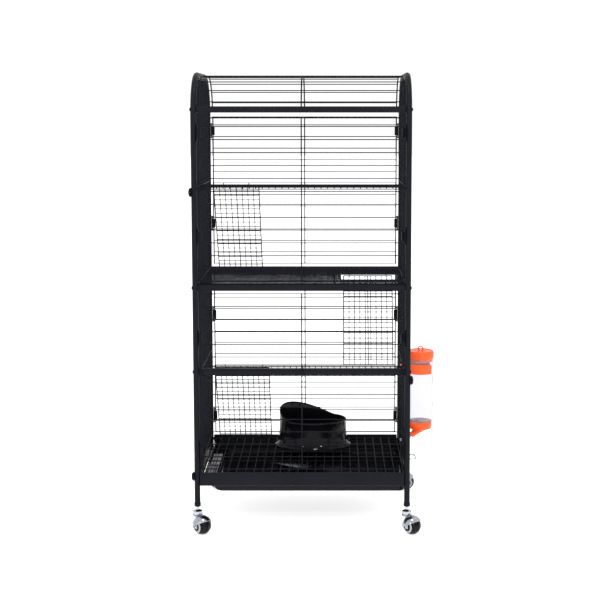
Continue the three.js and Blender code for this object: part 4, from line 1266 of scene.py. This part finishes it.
    def base(self, looks, centre):
        """The cup under the jar, and the spout that leans down towards the cage."""
        low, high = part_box("bottle_base")
        radius = (high.x - low.x) / 2
        bottom = low.z + 0.027
        profile = [(0, bottom), (radius - 0.008, bottom), (radius - 0.0025, bottom + 0.0022),
                   (radius, bottom + 0.007), (radius, high.z - 0.003), (radius - 0.0008, high.z),
                   (0, high.z)]
        parts = [turned(profile, (centre.x, centre.y, 0), Z_AXIS, 72)]
        slope = math.radians(45)
        heading = Vector((-math.cos(slope), 0, -math.sin(slope)))
        start = Vector((centre.x + 0.004, centre.y, bottom + 0.008))
        spout = [(0, 0), (0.017, 0), (0.0162, 0.006), (0.0125, 0.018), (0.0095, 0.030),
                 (0.0085, 0.0345), (0.0088, 0.036), (0.0088, 0.0395), (0.0075, 0.042),
                 (0.0042, 0.042), (0.0042, 0.038), (0, 0.038)]
        parts.append(turned(spout, start, heading, 40))
        dress(join(parts), "bottle_base_moulding", "bottle", "orange_plastic",
              looks["orange_plastic"], "bottle_base")

    def nozzle(self, looks):
        """The bent steel tube with its ball, which reaches between the wires."""
        low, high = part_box("bottle_nozzle")
        y = middle(low.y, high.y)
        radius = 0.0035
        start = Vector((high.x - 0.0025, y, high.z - 0.0025))
        tip = Vector((low.x, y, low.z + radius))
        knee = start + Vector((-0.0042, 0, -0.0042))
        bend = 0.006
        parts = [bent_bar([start, knee, tip], bend, radius, 20, 8)]
        aim = (tip - knee).normalized()
        rolled = [(0, -0.001), (radius + 0.0003, -0.001), (radius + 0.0004, 0.0004),
                  (radius - 0.0004, 0.0012), (radius - 0.001, 0.0009), (0, 0.0009)]
        parts.append(turned(rolled, tip, aim, 24))
        ball = arc_points(0.0023, 0.0, -90, 90, 8)
        parts.append(turned(ball, tip + aim * 0.0004, aim, 20))
        dress(join(parts), "bottle_nozzle_tube", "bottle", "bright_steel", looks["bright_steel"],
              "bottle_nozzle")


# ---------------------------------------------------------------- casters


class CAGE_OT_casters(bpy.types.Operator):
    """Models the four casters: plated hoods on stems, and gloss ball wheels"""

    bl_idname = "cage.casters"
    bl_label = "Casters"

    def execute(self, context):
        looks = finishes(context)
        for place in PLACES:
            swivel = next(j for j in frame["joints"] if j["child"] == f"caster_{place}")
            roll = next(j for j in frame["joints"] if j["child"] == f"wheel_{place}")
            pivot, axle = Vector(swivel["pos_m"]), Vector(roll["pos_m"])
            trail = Vector((axle.x - pivot.x, axle.y - pivot.y, 0))
            stand = Matrix.Translation((pivot.x, pivot.y, 0)) @ X_AXIS.rotation_difference(
                trail.normalized()).to_matrix().to_4x4()
            hood = self.hood(trail.length, axle.z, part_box(f"caster_hood_{place}")[1].z)
            hood.matrix_world = stand @ hood.matrix_world
            dress(hood, f"caster_hood_{place}_plating", f"caster_{place}", "bright_steel",
                  looks["bright_steel"], f"caster_hood_{place}")
            wheel, rims = self.wheel(trail.length, axle.z)
            for piece in (wheel, rims):
                piece.matrix_world = stand @ piece.matrix_world
            dress(wheel, f"caster_wheel_{place}_ball", f"wheel_{place}", "gloss_black",
                  looks["gloss_black"], f"caster_wheel_{place}")
            dress(rims, f"caster_wheel_{place}_rims", f"wheel_{place}", "bright_steel",
                  looks["grey_rim"])
        return {"FINISHED"}

    def hood(self, trail, axle, top):
        """The shell over the ball, its rolled edge, cheeks at the axle, and neck with stem."""
        inner, outer = 0.0262, 0.0286
        lip = 0.004
        start = math.degrees(math.asin(lip / outer))
        shell = arc_points(outer, 0, start, 90, 12) + arc_points(inner, 0, 90, start, 12)
        lean = math.radians(30)
        upwards = Vector((-math.sin(lean), 0, math.cos(lean)))
        parts = [turned(shell, (trail, 0, axle), upwards, 48, closed=True)]
        roll = 0.0010
        rolled = [(0.0274 + roll * math.cos(a), lip + roll * math.sin(a))
                  for a in (math.tau * i / 10 for i in range(10))]
        parts.append(turned(rolled, (trail, 0, axle), upwards, 48, closed=True))
        cheek_half = 0.005
        for sign in (-1, 1):
            near, far = sorted((sign * 0.0202, sign * 0.0220))
            parts.append(block((trail - cheek_half, near, axle - 0.0055),
                               (trail + cheek_half, far, axle + 0.014), 0.0008, 2))
            cap = [(0, 0.0030), (0.003, 0.0028), (0.0042, 0.0016), (0.0042, 0), (0, 0)]
            parts.append(turned(cap, (trail, sign * 0.0212, axle), Y_AXIS * sign, 20))
        waist = top - 0.0095
        neck = [(0, axle + 0.021), (0.0125, axle + 0.021), (0.0145, axle + 0.024),
                (0.0145, axle + 0.0265), (0.0118, axle + 0.0275), (0.0118, axle + 0.0292),
                (0.0135, axle + 0.0300), (0.0135, waist - 0.003), (0.0095, waist - 0.0012),
                (0.0068, waist), (0.0045, waist + 0.001), (0.0042, top), (0, top)]
        parts.append(turned(neck, (0, 0, 0), Z_AXIS, 40))
        parts.append(self.bridge(trail, axle))
        return join(parts)

    def bridge(self, trail, axle):
        """The web between the neck and the shell."""
        end, half = 0.006, 0.009
        return block((-end, -half, axle + 0.0205), (trail - end, half, axle + 0.0265), 0.0024, 3)

    def wheel(self, trail, axle):
        """Two half balls with a groove between them, and light rims round their hubs."""
        ball, half, gap = 0.02485, 0.0195, 0.0011
        profile = [(0, half - 0.0035), (0.0075, half - 0.0035), (0.0085, half - 0.0008),
                   (0.0095, half)]
        steps = 9
        for i in range(steps + 1):
            y = half + (gap - half) * i / steps
            profile.append((math.sqrt(ball ** 2 - y ** 2), y))
        profile.append((ball - 0.004, gap * 0.6))
        mirrored = [(r, -y) for r, y in reversed(profile)]
        wheel = turned(profile + mirrored, (trail, 0, axle), Y_AXIS, 56)
        rims = []
        inner = math.sqrt(ball ** 2 - half ** 2)
        ring = [(inner - 0.0030, half - 0.0012), (inner - 0.0030, half + 0.0003),
                (inner + 0.0002, half + 0.0003), (inner + 0.0016, half - 0.0012),
                (inner + 0.0020, half - 0.0022), (inner - 0.001, half - 0.0022)]
        for sign in (-1, 1):
            rims.append(turned(ring, (trail, 0, axle), Y_AXIS * sign, 56, closed=True))
        return wheel, join(rims)


class CAGE_OT_bolt_caps(bpy.types.Operator):
    """Moulds the rounded caps on the legs' outer sides"""

    bl_idname = "cage.bolt_caps"
    bl_label = "Bolt caps"

    def execute(self, context):
        for node in ("bolt_cap_left_upper", "bolt_cap_right_lower", "bolt_cap_left_base"):
            low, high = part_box(node)
            sign = 1 if middle(low.x, high.x) > cage_middle() else -1
            radius = (high.y - low.y) / 2
            proud = high.x - low.x
            base = (low.x if sign > 0 else high.x, middle(low.y, high.y),
                    middle(low.z, high.z))
            profile = [(0, 0), (radius - 0.0006, 0), (radius, 0.0006), (radius, 0.0022),
                       (radius - 0.0008, 0.0036), (radius - 0.0022, proud - 0.0014),
                       (radius - 0.0052, proud - 0.0003), (radius * 0.45, proud),
                       (radius * 0.4, proud - 0.0005), (0, proud - 0.0005)]
            piece = turned(profile, base, X_AXIS * sign, 40)
            dress(piece, f"{node}_moulding", "frame", "black_plastic",
                  finishes(context)["black_plastic"], node)
        return {"FINISHED"}


# ---------------------------------------------------------------- stage


class CAGE_OT_stage(bpy.types.Operator):
    """Sets up the pale floor, the soft light and the camera at the photograph's place"""

    bl_idname = "cage.stage"
    bl_label = "Stage"

    def execute(self, context):
        stage = context.scene.cage_stage
        self.floor(stage)
        self.light(context, stage)
        self.camera(context, stage)
        context.scene.view_settings.view_transform = "Standard"
        return {"FINISHED"}

    def floor(self, stage):
        deselect()
        bpy.ops.mesh.primitive_plane_add(size=stage.floor, location=(0, 0, 0))
        floor = bpy.context.object
        floor.name = "stage_floor"
        material, _, surface, _ = shader("pale_floor")
        surface.inputs["Base Color"].default_value = (0.93, 0.93, 0.93, 1)
        surface.inputs["Roughness"].default_value = 0.9
        surface.inputs["Specular IOR Level"].default_value = 0.1
        surface.inputs["Emission Color"].default_value = (1, 1, 1, 1)
        surface.inputs["Emission Strength"].default_value = stage.glow
        floor.data.materials.append(material)

    def light(self, context, stage):
        world = bpy.data.worlds.new("studio")
        context.scene.world = world
        world.use_nodes = True
        background = world.node_tree.nodes["Background"]
        background.inputs["Color"].default_value = (1, 1, 1, 1)
        background.inputs["Strength"].default_value = stage.sky
        target = Vector((0, 0, 0.6))
        lamps = (("key", (-1.7, -3.1, 2.9), 0.22, 40), ("fill", (1.3, -3.3, 2.3), 0.18, 22),
                 ("top", (0.2, -0.9, 3.6), 0.30, 30))
        for name, place, size, power in lamps:
            deselect()
            bpy.ops.object.light_add(type="AREA", location=place)
            lamp = bpy.context.object
            lamp.name = f"stage_{name}"
            lamp.data.size = size
            lamp.data.energy = power
            aim = target - Vector(place)
            lamp.rotation_euler = aim.to_track_quat("-Z", "Y").to_euler()

    def camera(self, context, stage):
        deselect()
        bpy.ops.object.camera_add(location=stage.eye)
        camera = bpy.context.object
        camera.name = "stage_camera"
        camera.data.sensor_width = 36
        camera.data.lens = stage.lens
        camera.data.shift_x, camera.data.shift_y = stage.shift
        camera.data.clip_end = 200
        camera.rotation_euler = (math.pi / 2 - stage.pitch, 0, 0)
        context.scene.camera = camera


# ---------------------------------------------------------------- add-on


STEPS = (CAGE_OT_stage, CAGE_OT_side_frames, CAGE_OT_rails, CAGE_OT_doors_and_backs, CAGE_OT_roof,
         CAGE_OT_side_walls, CAGE_OT_clips, CAGE_OT_platforms, CAGE_OT_ramps, CAGE_OT_aprons,
         CAGE_OT_grate, CAGE_OT_tray, CAGE_OT_dish, CAGE_OT_bottle, CAGE_OT_casters,
         CAGE_OT_bolt_caps)


class CAGE_PT_pieces(bpy.types.Panel):
    """Lists the cage's pieces in the sidebar"""

    bl_idname = "CAGE_PT_pieces"
    bl_label = "Ferret cage"
    bl_space_type = "VIEW_3D"
    bl_region_type = "UI"
    bl_category = "Cage"

    def draw(self, context):
        for step in STEPS:
            self.layout.operator(step.bl_idname)
        for group in ("cage_sizes", "cage_colours", "cage_stage"):
            settings = getattr(context.scene, group)
            for name in settings.__annotations__:
                self.layout.prop(settings, name)


CLASSES = (CageSizes, CageColours, CageStage, *STEPS, CAGE_PT_pieces)


def register():
    for cls in CLASSES:
        bpy.utils.register_class(cls)
    bpy.types.Scene.cage_sizes = PointerProperty(type=CageSizes)
    bpy.types.Scene.cage_colours = PointerProperty(type=CageColours)
    bpy.types.Scene.cage_stage = PointerProperty(type=CageStage)


def unregister():
    del bpy.types.Scene.cage_stage
    del bpy.types.Scene.cage_colours
    del bpy.types.Scene.cage_sizes
    for cls in reversed(CLASSES):
        bpy.utils.unregister_class(cls)


def main():
    register()
    for step in STEPS:
        group, name = step.bl_idname.split(".")
        getattr(getattr(bpy.ops, group), name)()


if __name__ == "__main__":
    main()
